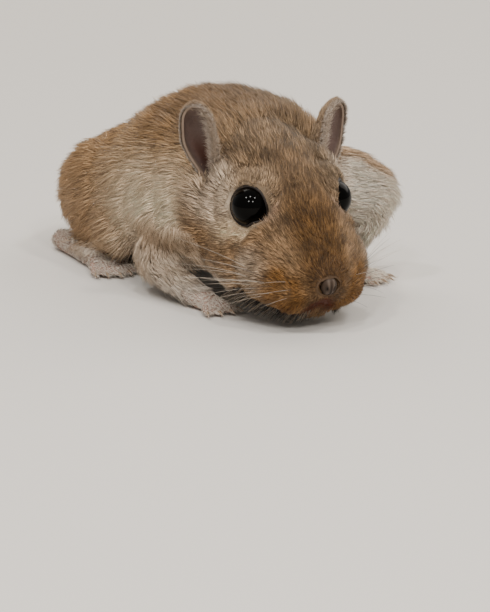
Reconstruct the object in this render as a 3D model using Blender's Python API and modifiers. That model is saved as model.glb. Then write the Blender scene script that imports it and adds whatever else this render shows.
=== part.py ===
"""A Mongolian gerbil at life size, crouching with its head lowered and turned a little to its right.

The animal faces -Y, its left side is +X and the floor is z = 0. The tables below are in millimetres,
and a place on the body is given as left of the nose tip, behind it, and up from the floor. The body is
modelled whole, from lofts and rounded limbs that are fused into one surface, out to the tips of the
coat. It is then parted by thin cuts into the pieces that a person would name, and the eyes, nose, ears
and toes are fitted to it. Last, the model is moved so that its origin is under its middle.
"""

import math

import bmesh
import bpy
from mathutils import Matrix, Vector

MM = 0.001

# The head's pose: the nose tip's height, the turn to the right and the downward pitch
NOSE_HEIGHT = 8.4
HEAD_TURN = math.radians(5.1)
HEAD_PITCH = math.radians(22.7)

# Fineness of the fused surface, the cuts, and the rings and rows of a loft
VOXEL = 0.7
SMOOTH_STEPS = 6
BODY_TRIANGLES = 6400
GAP = 0.3
RING_POINTS = 28
STEPS_BETWEEN = 4
SHARP_EDGE = math.radians(35)

# How many triangles a piece of the body is thinned to, by the first word of its name
PIECE_TRIANGLES = {
    "head": 1700,
    "neck": 800,
    "chest": 440,
    "rump": 440,
    "thigh": 280,
    "hind": 280,
    "foreleg": 280,
    "forepaw": 280,
    "tail": 180,
}

# Stations of the head, in its own frame: behind the nose, half width, top, bottom
HEAD_STATIONS = [
    (-0.2, 1.0, 0.8, -1.0),
    (0.7, 2.8, 1.9, -3.0),
    (2.5, 5.6, 3.2, -5.8),
    (5.0, 8.0, 4.9, -8.1),
    (8.0, 9.5, 6.7, -9.8),
    (12.0, 10.8, 8.7, -11.4),
    (16.0, 11.5, 10.3, -12.2),
    (20.0, 12.3, 11.5, -12.6),
    (25.0, 13.0, 12.2, -12.6),
    (30.0, 13.2, 12.2, -12.2),
    (35.0, 12.8, 11.2, -11.5),
    (39.0, 11.5, 9.0, -10.0),
    (42.0, 7.0, 5.0, -6.5),
]
HEAD_WIDEST = 0.40
HEAD_POWERS = (1.8, 2.3)

# Rounded masses of the head: behind the nose, to the side, up, then the radii across, along and up
HEAD_MASSES = {
    "whisker_pad": (6.6, 5.2, -3.2, 3.8, 5.4, 3.8),
    "cheek": (20.0, 6.6, -5.4, 6.2, 10.0, 6.6),
    "brow": (19.0, 5.8, 7.0, 2.4, 4.4, 2.2),
    "ear_root": (34.6, 9.6, 4.0, 2.6, 3.6, 4.0),
    "chin": (6.4, 1.2, -7.2, 2.4, 3.8, 2.2),
}

# Stations of the trunk: behind the nose, middle line to the left, half width, top, bottom
TRUNK_STATIONS = [
    (22.5, 1.8, 11.5, 26.0, 7.0),
    (28.0, 3.6, 15.4, 32.6, 4.4),
    (34.0, 4.8, 16.8, 34.2, 4.0),
    (42.0, 5.0, 17.2, 35.2, 3.0),
    (51.0, 4.8, 17.0, 34.3, 2.6),
    (58.5, 4.4, 17.0, 30.6, 2.6),
    (63.0, 4.3, 17.0, 28.0, 2.6),
    (70.0, 4.2, 16.6, 25.6, 2.6),
    (77.0, 4.4, 15.0, 22.5, 2.8),
    (84.0, 4.8, 11.8, 18.2, 3.2),
    (88.5, 5.0, 8.0, 14.4, 4.4),
    (91.0, 5.2, 4.0, 11.0, 6.0),
]
TRUNK_WIDEST = 0.40
TRUNK_POWERS = (2.3, 2.4)
HIP_MIDDLE = 4.3

# Forelegs as paths of round sections: left, behind, up, radius
RIGHT_FORELEG = [
    (-4.0, 39.0, 15.0, 7.0),
    (-8.4, 41.5, 9.0, 5.2),
    (-10.4, 40.0, 6.4, 4.0),
    (-10.6, 35.6, 4.6, 3.1),
    (-9.8, 31.0, 2.8, 2.4),
    (-9.0, 27.8, 1.7, 2.2),
    (-8.7, 25.4, 1.4, 2.1),
    (-8.6, 23.8, 1.1, 1.3),
]
LEFT_FORELEG = [
    (9.0, 36.5, 18.6, 8.0),
    (17.5, 34.0, 18.8, 7.4),
    (25.8, 31.0, 17.0, 5.4),
    (28.6, 31.0, 12.6, 3.9),
    (26.2, 33.0, 7.4, 2.6),
    (24.0, 33.4, 3.8, 2.0),
    (24.6, 32.0, 1.6, 2.2),
    (26.0, 30.2, 1.3, 2.0),
    (26.6, 29.4, 1.1, 1.3),
]

# Rounded masses of the hip: behind the nose, from the hip's middle line, up, then the radii
HIP_MASSES = {
    "haunch": (67.0, 11.2, 12.6, 6.6, 14.4, 10.2),
    "knee": (57.5, 12.6, 9.0, 4.8, 6.0, 5.8),
}

# A hind foot as a path of round sections: from the hip's middle line, behind, up, radius
HIND_FOOT = [
    (12.8, 83.0, 2.2, 1.8),
    (13.2, 80.5, 1.7, 2.4),
    (13.8, 72.0, 1.5, 2.3),
    (14.4, 65.0, 1.4, 2.6),
    (14.6, 62.0, 1.2, 2.5),
    (14.7, 60.6, 1.0, 1.5),
]

# The tail as a path: left, behind, up, radius
TAIL = [
    (5.2, 82.0, 11.0, 5.0),
    (5.6, 88.0, 8.0, 3.7),
    (6.8, 93.5, 4.2, 2.8),
    (10.5, 101.0, 1.8, 2.4),
    (20.0, 114.0, 1.5, 2.2),
    (32.0, 126.0, 1.5, 2.1),
    (45.0, 137.5, 1.5, 2.1),
    (57.0, 146.5, 1.8, 2.5),
    (66.0, 152.0, 2.0, 2.7),
    (72.0, 155.4, 1.7, 2.3),
    (77.0, 158.0, 1.0, 1.0),
]

# Toes, and where the end of each paw is and how far it points to the left
FORE_TOES = {"count": 4, "length": 3.6, "radius": 0.95, "fan": math.radians(17), "spread": 1.1}
HIND_TOES = {"count": 5, "length": 7.0, "radius": 1.05, "fan": math.radians(8), "spread": 1.2}
PAWS = {
    "forepaw_right": (-8.6, 24.6, math.radians(4), FORE_TOES),
    "forepaw_left": (26.1, 30.3, math.radians(34), FORE_TOES),
    "hind_foot_right": (HIP_MIDDLE - 14.6, 61.6, math.radians(-6), HIND_TOES),
    "hind_foot_left": (HIP_MIDDLE + 14.6, 61.6, math.radians(6), HIND_TOES),
}
CLAW_LENGTH = 1.7
CLAW_RADIUS = 0.42
CLAW_TIP_RADIUS = 0.26

# Pieces that are boxed off the whole body, in this order: lowest and highest left, behind, and up
REGIONS = {
    "forepaw_left": ((20.0, 21.0, -5.0), (36.0, 38.0, 4.6)),
    "forepaw_right": ((-16.0, 19.0, -5.0), (-5.4, 31.4, 3.6)),
    "foreleg_left": ((17.0, 20.0, 4.0), (42.0, 42.0, 28.0)),
    "foreleg_right": ((-24.0, 28.0, -1.0), (-8.0, 46.0, 15.0)),
    "hind_foot_left": ((HIP_MIDDLE + 10.4, 56.0, -5.0), (HIP_MIDDLE + 22.0, 88.0, 3.6)),
    "hind_foot_right": ((HIP_MIDDLE - 22.0, 56.0, -5.0), (HIP_MIDDLE - 10.4, 88.0, 3.6)),
    "thigh_left": ((HIP_MIDDLE + 9.0, 50.0, -1.0), (HIP_MIDDLE + 24.0, 83.0, 22.0)),
    "thigh_right": ((HIP_MIDDLE - 24.0, 50.0, -1.0), (HIP_MIDDLE - 9.0, 83.0, 22.0)),
    "head": ((-20.0, -5.0, -1.0), (20.0, 29.6, 50.0)),
    "neck": ((-30.0, 29.0, -1.0), (30.0, 37.0, 50.0)),
    "chest": ((-30.0, 36.0, -1.0), (30.0, 57.0, 50.0)),
    "rump": ((-30.0, 56.0, -1.0), (30.0, 90.4, 50.0)),
}

# The tail's lengths, each from one point of its path up to the next
TAIL_PIECES = {"tail_tip": 6, "tail_middle": 4}
TAIL_BASE = "tail_base"
TAIL_BOX = 60.0

# Eyes, nose and ears, in the head's frame: behind the nose, to the side, up
EYE_PLACE = (18.4, 7.7, 4.9)
EYE_RADIUS = 3.3
ORBIT_PLACE = (17.0, 11.2, 5.6)
ORBIT_RADIUS = 4.6
NOSE_PLACE = (0.9, 0.0, -0.2)
NOSE_RADII = (1.7, 1.2, 1.2)
EAR_PLACE = {"right": (31.4, 12.4, 8.4), "left": (31.4, 12.8, 6.4)}
EAR_RADII = (3.4, 3.2, 8.8)
EAR_WALL = 0.9
EAR_RIM = 0.13
EAR_NARROWING = 0.36
EAR_FACING = math.radians(36)
EAR_TILT = {"right": math.radians(14), "left": math.radians(5)}
EAR_LEAN = {"right": math.radians(6), "left": math.radians(14)}
SIDES = {"right": -1.0, "left": 1.0}

# Colour and roughness of each finish, and the pieces that aren't the brown coat
FINISHES = {
    "coat": ((0.43, 0.30, 0.18, 1.0), 0.85),
    "pale_coat": ((0.72, 0.66, 0.57, 1.0), 0.85),
    "ear_skin": ((0.36, 0.24, 0.21, 1.0), 0.7),
    "eye": ((0.01, 0.008, 0.008, 1.0), 0.05),
    "nose_skin": ((0.33, 0.22, 0.18, 1.0), 0.6),
}
FINISH_OF = {"eye": "eye", "ear": "ear_skin", "nose": "nose_skin", "fore": "pale_coat", "hind": "pale_coat"}


def new_collection(name):
    """A collection linked to the scene."""
    made = bpy.data.collections.new(name)
    bpy.context.scene.collection.children.link(made)
    return made


def make_material(name):
    """The Principled material of one finish."""
    colour, roughness = FINISHES[name]
    made = bpy.data.materials.new(name)
    made.use_nodes = True
    shader = made.node_tree.nodes["Principled BSDF"]
    shader.inputs["Base Color"].default_value = colour
    shader.inputs["Roughness"].default_value = roughness
    shader.inputs["Metallic"].default_value = 0.0
    return made


def mesh_object(name, bm, where):
    """A mesh object from a bmesh, linked to a collection."""
    mesh = bpy.data.meshes.new(name)
    bm.to_mesh(mesh)
    bm.free()
    made = bpy.data.objects.new(name, mesh)
    where.objects.link(made)
    return made


def shaped_mesh(obj):
    """The mesh that an object's curve or modifiers give."""
    bpy.context.view_layer.update()
    graph = bpy.context.evaluated_depsgraph_get()
    return bpy.data.meshes.new_from_object(obj.evaluated_get(graph))


def settle(obj):
    """Take the shape that an object's modifiers give as its own mesh."""
    shaped = shaped_mesh(obj)
    obj.modifiers.clear()
    obj.data = shaped
    return obj


def thin_out(obj, triangles):
    """Thin a mesh to a number of triangles."""
    obj.data.calc_loop_triangles()
    thin = obj.modifiers.new("thin_out", "DECIMATE")
    thin.ratio = min(1.0, triangles / len(obj.data.loop_triangles))
    return settle(obj)


def keep_largest(obj):
    """Drop all but the largest of a mesh's separate shells."""
    bm = bmesh.new()
    bm.from_mesh(obj.data)
    unseen = set(bm.verts)
    shells = []
    while unseen:
        shell = [unseen.pop()]
        for vert in shell:
            for edge in vert.link_edges:
                other = edge.other_vert(vert)
                if other in unseen:
                    unseen.remove(other)
                    shell.append(other)
        shells.append(shell)
    largest = max(shells, key=len)
    strays = [vert for shell in shells if shell is not largest for vert in shell]
    bmesh.ops.delete(bm, geom=strays, context="VERTS")
    bm.to_mesh(obj.data)
    bm.free()
    return obj


def smooth_rows(rows, steps=STEPS_BETWEEN):
    """Rows of numbers with more rows between them, on a Catmull-Rom curve through the given ones."""
    ends = [rows[0], *rows, rows[-1]]
    result = []
    for before, here, there, after in zip(ends, ends[1:], ends[2:], ends[3:]):
        for step in range(steps):
            t = step / steps
            row = []
            for p, q, r, s in zip(before, here, there, after):
                bend = (2 * p - 5 * q + 4 * r - s) * t**2 + (3 * q - p - 3 * r + s) * t**3
                row.append(0.5 * (2 * q + (r - p) * t + bend))
            result.append(tuple(row))
    result.append(tuple(rows[-1]))
    return result


def section(behind, middle, half_width, top, bottom, widest, powers):
    """One closed ring across the body: an oval that is widest some way up from its bottom.

    The two powers shape its upper and lower half: 2 is an ellipse, and more is squarer.
    """
    centre = bottom + widest * (top - bottom)
    ring = []
    for i in range(RING_POINTS):
        angle = 2 * math.pi * i / RING_POINTS
        power = powers[0] if math.sin(angle) > 0 else powers[1]
        side = math.copysign(abs(math.cos(angle)) ** (2 / power), math.cos(angle))
        rise = math.copysign(abs(math.sin(angle)) ** (2 / power), math.sin(angle))
        height = top - centre if rise > 0 else centre - bottom
        ring.append(Vector((middle + half_width * side, behind, centre + height * rise)) * MM)
    return ring


def loft(name, rings, where, frame):
    """A closed solid through rings of equal point count, with a flat cap at each end."""
    bm = bmesh.new()
    loops = [[bm.verts.new(frame @ point) for point in ring] for ring in rings]
    for near, far in zip(loops, loops[1:]):
        for i in range(RING_POINTS):
            j = (i + 1) % RING_POINTS
            bm.faces.new((near[i], near[j], far[j], far[i]))
    bm.faces.new(loops[0])
    bm.faces.new(loops[-1])
    bmesh.ops.recalc_face_normals(bm, faces=bm.faces)
    return mesh_object(name, bm, where)


def ball(name, centre, radii, where, frame, segments=16, rings=10):
    """An ellipsoid, its centre and its radii across, along and up in millimetres."""
    place = frame @ Matrix.Translation(Vector(centre) * MM) @ Matrix.Diagonal((*radii, 1.0))
    bm = bmesh.new()
    bmesh.ops.create_uvsphere(bm, u_segments=segments, v_segments=rings, radius=MM, matrix=place)
    return mesh_object(name, bm, where)


def tube(name, rows, where, bevel_resolution=3):
    """A closed tube of changing radius through rows of left, behind, up and radius."""
    curve = bpy.data.curves.new(name + "_path", "CURVE")
    curve.dimensions = "3D"
    curve.bevel_depth = MM
    curve.bevel_resolution = bevel_resolution
    curve.use_fill_caps = True
    spline = curve.splines.new("POLY")
    spline.points.add(len(rows) - 1)
    for point, (left, behind, up, radius) in zip(spline.points, rows):
        point.co = (left * MM, behind * MM, up * MM, 1.0)
        point.radius = radius
    path = bpy.data.objects.new(name + "_path", curve)
    where.objects.link(path)
    bm = bmesh.new()
    bm.from_mesh(shaped_mesh(path))
    bmesh.ops.remove_doubles(bm, verts=bm.verts, dist=0.01 * MM)
    bmesh.ops.recalc_face_normals(bm, faces=bm.faces)
    bpy.data.objects.remove(path)
    return mesh_object(name, bm, where)


def box(name, low, high, where, frame, grow=0.0):
    """A box between two corners in millimetres, grown on every side."""
    middle = (Vector(low) + Vector(high)) / 2
    size = Vector(high) - Vector(low) + Vector((2 * grow,) * 3)
    place = frame @ Matrix.Translation(middle * MM) @ Matrix.Diagonal((*(size * MM), 1.0))
    bm = bmesh.new()
    bmesh.ops.create_cube(bm, size=1.0, matrix=place)
    return mesh_object(name, bm, where)


def cut(obj, tool, operation):
    """Apply one Boolean to an object, and remove the tool that it was made with."""
    tool.hide_render = True
    tool.display_type = "WIRE"
    boolean = obj.modifiers.new("cut", "BOOLEAN")
    boolean.operation = operation
    boolean.solver = "EXACT"
    boolean.object = tool
    settle(obj)
    bpy.data.objects.remove(tool)
    return obj


def part_off(name, whole, corners, parts, cutters, frame):
    """Take the piece inside a box off the whole, and leave a thin gap round the cut."""
    piece = bpy.data.objects.new(name, whole.data.copy())
    parts.objects.link(piece)
    cut(piece, box(name + "_box", *corners, cutters, frame), "INTERSECT")
    cut(whole, box(name + "_gap", *corners, cutters, frame, GAP), "DIFFERENCE")
    return piece


def head_frame():
    """The head's own frame: its origin at the nose tip, turned to the right and pitched down."""
    return (
        Matrix.Translation((0.0, 0.0, NOSE_HEIGHT * MM))
        @ Matrix.Rotation(-HEAD_TURN, 4, "Z")
        @ Matrix.Rotation(HEAD_PITCH, 4, "X")
    )


def body_masses(where):
    """All the masses of the body, overlapping one another."""
    level = Matrix.Identity(4)
    head = head_frame()
    rings = [
        section(behind, 0.0, half_width, top, bottom, HEAD_WIDEST, HEAD_POWERS)
        for behind, half_width, top, bottom in smooth_rows(HEAD_STATIONS)
    ]
    masses = [loft("skull", rings, where, head)]
    rings = [section(*row, TRUNK_WIDEST, TRUNK_POWERS) for row in smooth_rows(TRUNK_STATIONS)]
    masses.append(loft("barrel", rings, where, level))
    for side in SIDES.values():
        for name, (behind, out, up, *radii) in HEAD_MASSES.items():
            masses.append(ball(name, (side * out, behind, up), radii, where, head))
        for name, (behind, out, up, *radii) in HIP_MASSES.items():
            masses.append(ball(name, (HIP_MIDDLE + side * out, behind, up), radii, where, level))
        foot = [(HIP_MIDDLE + side * out, *rest) for out, *rest in HIND_FOOT]
        masses.append(tube("foot", smooth_rows(foot), where))
    for name, path in (("right_arm", RIGHT_FORELEG), ("left_arm", LEFT_FORELEG), ("tail", TAIL)):
        masses.append(tube(name, smooth_rows(path), where))
    return masses


def fuse(name, masses, where):
    """One closed surface round overlapping masses, smoothed and thinned to the planned triangles."""
    bm = bmesh.new()
    for mass in masses:
        bm.from_mesh(mass.data)
        bpy.data.objects.remove(mass)
    body = mesh_object(name, bm, where)
    remesh = body.modifiers.new("one_surface", "REMESH")
    remesh.mode = "VOXEL"
    remesh.voxel_size = VOXEL * MM
    soften = body.modifiers.new("soften", "SMOOTH")
    soften.factor = 0.5
    soften.iterations = SMOOTH_STEPS
    return thin_out(settle(body), BODY_TRIANGLES)


def part_body(body, parts, cutters):
    """Part the whole body into its pieces, and return them by name."""
    level = Matrix.Identity(4)
    pieces = {}
    for name, index in TAIL_PIECES.items():
        here = Vector(TAIL[index][:2])
        onward = (Vector(TAIL[index + 1][:2]) - here).normalized()
        turn = Matrix.Rotation(math.atan2(onward.y, onward.x), 4, "Z")
        frame = Matrix.Translation((here.x * MM, here.y * MM, 0.0)) @ turn
        corners = ((0.0, -TAIL_BOX / 4, -TAIL_BOX / 4), (TAIL_BOX, TAIL_BOX / 4, TAIL_BOX / 4))
        pieces[name] = part_off(name, body, corners, parts, cutters, frame)
    for name, corners in REGIONS.items():
        pieces[name] = part_off(name, body, corners, parts, cutters, level)
    body.name = TAIL_BASE
    pieces[TAIL_BASE] = body
    for name, piece in pieces.items():
        thin_out(keep_largest(piece), PIECE_TRIANGLES[name.split("_")[0]])
    return pieces


def add_toes(paw, left, behind, heading, toes, cutters):
    """Join a fan of toes, each ending in its claw, to the front of a paw."""
    radius = toes["radius"]
    length = toes["length"]
    for i in range(toes["count"]):
        place = i - (toes["count"] - 1) / 2
        angle = heading + place * toes["fan"]
        forward = Vector((math.sin(angle), -math.cos(angle)))
        across = Vector((math.cos(heading), math.sin(heading)))
        start = Vector((left, behind)) + across * place * toes["spread"]
        reach = length * (1 - 0.12 * abs(place))
        rows = []
        for along, up, thick in (
            (-1.2, radius + 0.5, radius),
            (0.4 * reach, radius + 0.4, radius),
            (0.8 * reach, radius - 0.15, 0.95 * radius),
            (reach, 0.75 * radius, 0.7 * radius),
            (reach + 0.4 * CLAW_LENGTH, 0.7 * radius, CLAW_RADIUS),
            (reach + CLAW_LENGTH, 0.45, CLAW_TIP_RADIUS),
        ):
            spot = start + forward * along
            rows.append((spot.x, spot.y, up, thick))
        cut(paw, tube("toe", rows, cutters, 1), "UNION")


def make_ear(word, side, parts, cutters):
    """A cupped ear: the back half of a hollowed ellipsoid, narrowed towards its root."""
    level = Matrix.Identity(4)
    ear = ball("ear_" + word, (0.0, 0.0, 0.0), EAR_RADII, parts, level)
    reach = 2 * max(EAR_RADII)
    cut(ear, box("front_half", (-reach, -reach, -reach), (reach, EAR_RIM, reach), cutters, level), "DIFFERENCE")
    hollow = [radius - EAR_WALL for radius in EAR_RADII]
    cut(ear, ball("hollow", (0.0, -0.05, 0.0), hollow, cutters, level), "DIFFERENCE")
    for vert in ear.data.vertices:
        vert.co.x *= 1 - EAR_NARROWING * max(0.0, -vert.co.z / (EAR_RADII[2] * MM))
    behind, out, up = EAR_PLACE[word]
    place = (
        head_frame()
        @ Matrix.Translation(Vector((side * out, behind, up)) * MM)
        @ Matrix.Rotation(side * EAR_TILT[word], 4, "Y")
        @ Matrix.Rotation(-EAR_LEAN[word], 4, "X")
        @ Matrix.Rotation(side * EAR_FACING, 4, "Z")
    )
    ear.data.transform(place)
    return ear


def swollen_copy(body, cutters):
    """A copy of the whole body, larger by the gap all round, in which the ears are seated."""
    swollen = bpy.data.objects.new("ear_seat", body.data.copy())
    cutters.objects.link(swollen)
    swell = swollen.modifiers.new("swell", "DISPLACE")
    swell.strength = GAP * MM
    swell.mid_level = 0.0
    remesh = swollen.modifiers.new("one_surface", "REMESH")
    remesh.mode = "VOXEL"
    remesh.voxel_size = VOXEL * MM
    return settle(swollen)


def fit_head(head, seat, parts, cutters):
    """Set the eyes, the nose and the ears in the head, each with a thin gap round it."""
    frame = head_frame()
    fitted = {}
    for word, side in SIDES.items():
        ear = make_ear(word, side, parts, cutters)
        own_seat = bpy.data.objects.new("own_seat", seat.data.copy())
        cutters.objects.link(own_seat)
        fitted["ear_" + word] = keep_largest(cut(ear, own_seat, "DIFFERENCE"))
    bpy.data.objects.remove(seat)
    for word, side in SIDES.items():
        behind, out, up = EYE_PLACE
        centre = (side * out, behind, up)
        fitted["eye_" + word] = ball("eye_" + word, centre, (EYE_RADIUS,) * 3, parts, frame)
        behind, out, up = ORBIT_PLACE
        orbit = ball("orbit", (side * out, behind, up), (ORBIT_RADIUS,) * 3, cutters, frame)
        cut(head, orbit, "DIFFERENCE")
        cut(head, ball("socket", centre, (EYE_RADIUS + GAP,) * 3, cutters, frame), "DIFFERENCE")
    centre = (NOSE_PLACE[1], NOSE_PLACE[0], NOSE_PLACE[2])
    fitted["nose"] = ball("nose", centre, NOSE_RADII, parts, frame, 12, 8)
    wider = [radius + GAP for radius in NOSE_RADII]
    cut(head, ball("nose_seat", centre, wider, cutters, frame), "DIFFERENCE")
    return fitted


def finish(pieces):
    """Give each piece its material and smooth shading, and stand the model over its origin."""
    corners = []
    for piece in pieces.values():
        corners.extend(vert.co.copy() for vert in piece.data.vertices)
    low = Vector([min(corner[axis] for corner in corners) for axis in range(3)])
    high = Vector([max(corner[axis] for corner in corners) for axis in range(3)])
    shift = Vector((-(low.x + high.x) / 2, -(low.y + high.y) / 2, -low.z))
    root = bpy.data.objects.new("gerbil_root", None)
    bpy.data.collections["gerbil"].objects.link(root)
    materials = {name: make_material(name) for name in FINISHES}
    for name, piece in pieces.items():
        piece.data.name = name
        piece.data.transform(Matrix.Translation(shift))
        piece.data.shade_smooth()
        piece.data.set_sharp_from_angle(angle=SHARP_EDGE)
        piece.data.materials.clear()
        piece.data.materials.append(materials[FINISH_OF.get(name[:4].rstrip("_"), "coat")])
        piece.parent = root
    return shift


def main():
    for old in list(bpy.data.objects):
        bpy.data.objects.remove(old)
    parts = new_collection("gerbil")
    cutters = new_collection("cutters")
    body = fuse("body", body_masses(cutters), parts)
    seat = swollen_copy(body, cutters)
    pieces = part_body(body, parts, cutters)
    pieces.update(fit_head(pieces["head"], seat, parts, cutters))
    for name, (left, behind, heading, toes) in PAWS.items():
        add_toes(pieces[name], left, behind, heading, toes, cutters)
    for name in (*PAWS, *TAIL_PIECES, TAIL_BASE):
        floor = box("floor", (-80.0, -40.0, -20.0), (120.0, 200.0, 0.0), cutters, Matrix.Identity(4))
        cut(pieces[name], floor, "DIFFERENCE")
    return finish(pieces)


SHIFT = main()
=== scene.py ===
# %% [markdown]
# # A life-size gerbil
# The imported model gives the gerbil's outside, out to the tips of its coat, parted into named pieces. This
# lesson puts one skin inside that outside, and on it the eyes with their lids, the nose, the ears, the claws,
# a coat of some two hundred thousand tufts and the whiskers. Each of them could be a simulated hair system,
# but a reusable part has to be plain mesh, so all of it is made as mesh here.

import math

import bpy
import numpy as np
from mathutils import Matrix, Vector
from mathutils.kdtree import KDTree


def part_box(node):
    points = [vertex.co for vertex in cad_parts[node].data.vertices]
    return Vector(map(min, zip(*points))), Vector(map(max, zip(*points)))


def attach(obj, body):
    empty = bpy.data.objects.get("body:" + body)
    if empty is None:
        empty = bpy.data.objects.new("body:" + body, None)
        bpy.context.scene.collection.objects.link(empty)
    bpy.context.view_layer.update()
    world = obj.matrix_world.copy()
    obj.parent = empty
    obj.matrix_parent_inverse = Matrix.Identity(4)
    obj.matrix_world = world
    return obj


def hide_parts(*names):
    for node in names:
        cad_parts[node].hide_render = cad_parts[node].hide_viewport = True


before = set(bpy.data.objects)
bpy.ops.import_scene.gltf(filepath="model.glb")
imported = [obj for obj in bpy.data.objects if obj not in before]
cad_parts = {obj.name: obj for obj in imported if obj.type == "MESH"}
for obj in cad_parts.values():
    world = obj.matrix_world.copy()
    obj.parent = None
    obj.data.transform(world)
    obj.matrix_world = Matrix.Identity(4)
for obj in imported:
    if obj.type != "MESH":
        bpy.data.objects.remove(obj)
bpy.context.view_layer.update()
MM = 0.001
rng = np.random.default_rng(11)
bpy.ops.object.select_all(action="DESELECT")

# %% [markdown]
# ## The head's own frame
# The head is lowered and turned a little, and the eyes, ears, markings and whiskers belong to it. It is
# simplest to give them places in a frame of the head's own, with its origin at the tip of the nose: to the
# left, behind the nose and up, in millimetres. A second frame, level with the floor, serves for the body.

# %% The two frames
HEAD_TURN = math.radians(5.1)
HEAD_PITCH = math.radians(22.7)
NOSE_MIDDLE = Vector((0.0, 0.9, -0.2))

turned = Matrix.Rotation(-HEAD_TURN, 4, "Z") @ Matrix.Rotation(HEAD_PITCH, 4, "X")
nose_low, nose_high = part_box("nose")
nose_tip = (nose_low + nose_high) / 2 - turned @ (NOSE_MIDDLE * MM)
head_place = Matrix.Translation(nose_tip) @ turned
HEAD_TO_WORLD = np.array(head_place)
WORLD_TO_HEAD = np.array(head_place.inverted())
BODY_ORIGIN = np.array((nose_tip.x, nose_tip.y, 0.0))


def moved(points, matrix):
    """Points put through a 4 by 4 matrix."""
    return points @ matrix[:3, :3].T + matrix[:3, 3]


def in_head(points):
    """Points of the shared frame, in the head's frame and in millimetres."""
    return moved(points, WORLD_TO_HEAD) / MM


def from_head(points):
    """Points of the head's frame, in the shared frame."""
    return moved(np.asarray(points) * MM, HEAD_TO_WORLD)


def in_body(points):
    """Points of the shared frame as left of the nose, behind it and up from the floor, in millimetres."""
    return (points - BODY_ORIGIN) / MM


def on_left(head):
    """Points of the head's frame, with both sides laid on the left."""
    return np.stack((np.abs(head[:, 0]), head[:, 1], head[:, 2]), axis=1)


SIDES = {"right": -1.0, "left": 1.0}
eye_centres = {word: sum(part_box("eye_" + word), Vector()) / 2 for word in SIDES}
EYE_MIDDLE = in_head(np.array([eye_centres["left"]]))[0]
print("nose tip", [round(value / MM, 1) for value in nose_tip], "mm, eye", EYE_MIDDLE.round(1))

# %% [markdown]
# ## Small helpers for shapes
# The coat's length, colour and direction all change smoothly from one place to the next. Each is a sum of
# simple parts, and these few functions are what the sums are made of: a soft step from 0 to 1, a mix of two
# colours, a smooth random field made of crossing waves, and the distance to a spot or to a path.

# %% Steps, mixes, waves and paths
WAVES = 9


def soft_step(value, start, end):
    """0 before start, 1 after end, and a smooth rise between them. It falls where start is above end."""
    share = np.clip((value - start) / (end - start), 0.0, 1.0)
    return share * share * (3.0 - 2.0 * share)


def mix(first, second, share):
    """A blend of two colours, with a share for each point."""
    share = np.asarray(share)[:, None]
    return np.asarray(first) * (1.0 - share) + np.asarray(second) * share


def unit(vectors):
    """Vectors scaled to a length of 1."""
    return vectors / np.maximum(np.linalg.norm(vectors, axis=1, keepdims=True), 1e-12)


def wave_field(points, size, seed):
    """A smooth random number from about -1 to 1 at each point, with features of a size in the same unit."""
    draw = np.random.default_rng(seed)
    total = np.zeros(len(points))
    for _ in range(WAVES):
        heading = draw.normal(size=3)
        heading *= draw.uniform(0.6, 1.5) / np.linalg.norm(heading)
        total += np.sin(points @ heading * (2 * math.pi / size) + draw.uniform(0, 2 * math.pi))
    return total / math.sqrt(WAVES)


def gap_to(points, middle):
    """The distance from each point to one place."""
    return np.linalg.norm(points - middle, axis=1)


def along_path(points, path):
    """The distance from each point to a path, and the path's direction at its nearest point."""
    path = np.asarray(path, float)
    nearest = np.full(len(points), np.inf)
    heading = np.zeros((len(points), 3))
    for start, end in zip(path, path[1:]):
        run = end - start
        share = np.clip((points - start) @ run / (run @ run), 0.0, 1.0)
        gap = np.linalg.norm(points - start - share[:, None] * run, axis=1)
        closer = gap < nearest
        nearest[closer] = gap[closer]
        heading[closer] = run / np.linalg.norm(run)
    return nearest, heading


# %% [markdown]
# ## Materials as Python expressions
# A material is a small net of nodes. Written out link by link it is hard to read, so a thin wrapper lets an
# expression such as grain * 0.35 add its Math node. Any other node comes from one method, which sets the
# node's own settings first and its sockets after that.

# %% The material wrapper
class Value:
    """One output socket of a material. A product of it and a number adds a Math node."""

    def __init__(self, paint, socket):
        self.paint = paint
        self.socket = socket

    def __mul__(self, other):
        return self.paint.node("ShaderNodeMath", {"operation": "MULTIPLY"}, {0: self, 1: other})


class Paint:
    """A Principled material and the nodes that feed it."""

    def __init__(self, name, **sockets):
        self.material = bpy.data.materials.new(name)
        self.material.use_nodes = True
        self.tree = self.material.node_tree
        self.shader = self.tree.nodes["Principled BSDF"]
        for socket, value in sockets.items():
            self.shader.inputs[socket.replace("_", " ")].default_value = value

    def node(self, kind, settings=None, sockets=None, output=0):
        made = self.tree.nodes.new(kind)
        for setting, value in (settings or {}).items():
            setattr(made, setting, value)
        for socket, value in (sockets or {}).items():
            if isinstance(value, Value):
                self.tree.links.new(value.socket, made.inputs[socket])
            else:
                made.inputs[socket].default_value = value
        return Value(self, made.outputs[output])

    def attribute(self, name):
        return self.node("ShaderNodeAttribute", {"attribute_name": name})

    def place(self):
        return self.node("ShaderNodeTexCoord", output="Object")

    def noise(self, scale, detail=2.0):
        sockets = {"Vector": self.place(), "Scale": scale, "Detail": detail}
        return self.node("ShaderNodeTexNoise", sockets=sockets)

    def blend(self, share, first, second, kind="MIX"):
        settings = {"data_type": "RGBA", "blend_type": kind}
        return self.node("ShaderNodeMix", settings, {0: share, 6: first, 7: second}, output=2)

    def bump(self, height, distance):
        return self.node("ShaderNodeBump", sockets={"Height": height, "Distance": distance, "Strength": 1.0})

    def feed(self, socket, value):
        self.tree.links.new(value.socket, self.shader.inputs[socket])


# %% [markdown]
# ## The markings
# A gerbil's back is golden brown, ticked with black, and fades through the flanks to a pale belly. The
# muzzle is ginger, a cream ring goes round the eye, and a grey-white patch lies behind it, below the ear.
# Skin and coat have to carry the same markings, so they are written once, as colours mixed by place. They are
# worked out at the skin's points, and each tuft takes those at its root.

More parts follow.
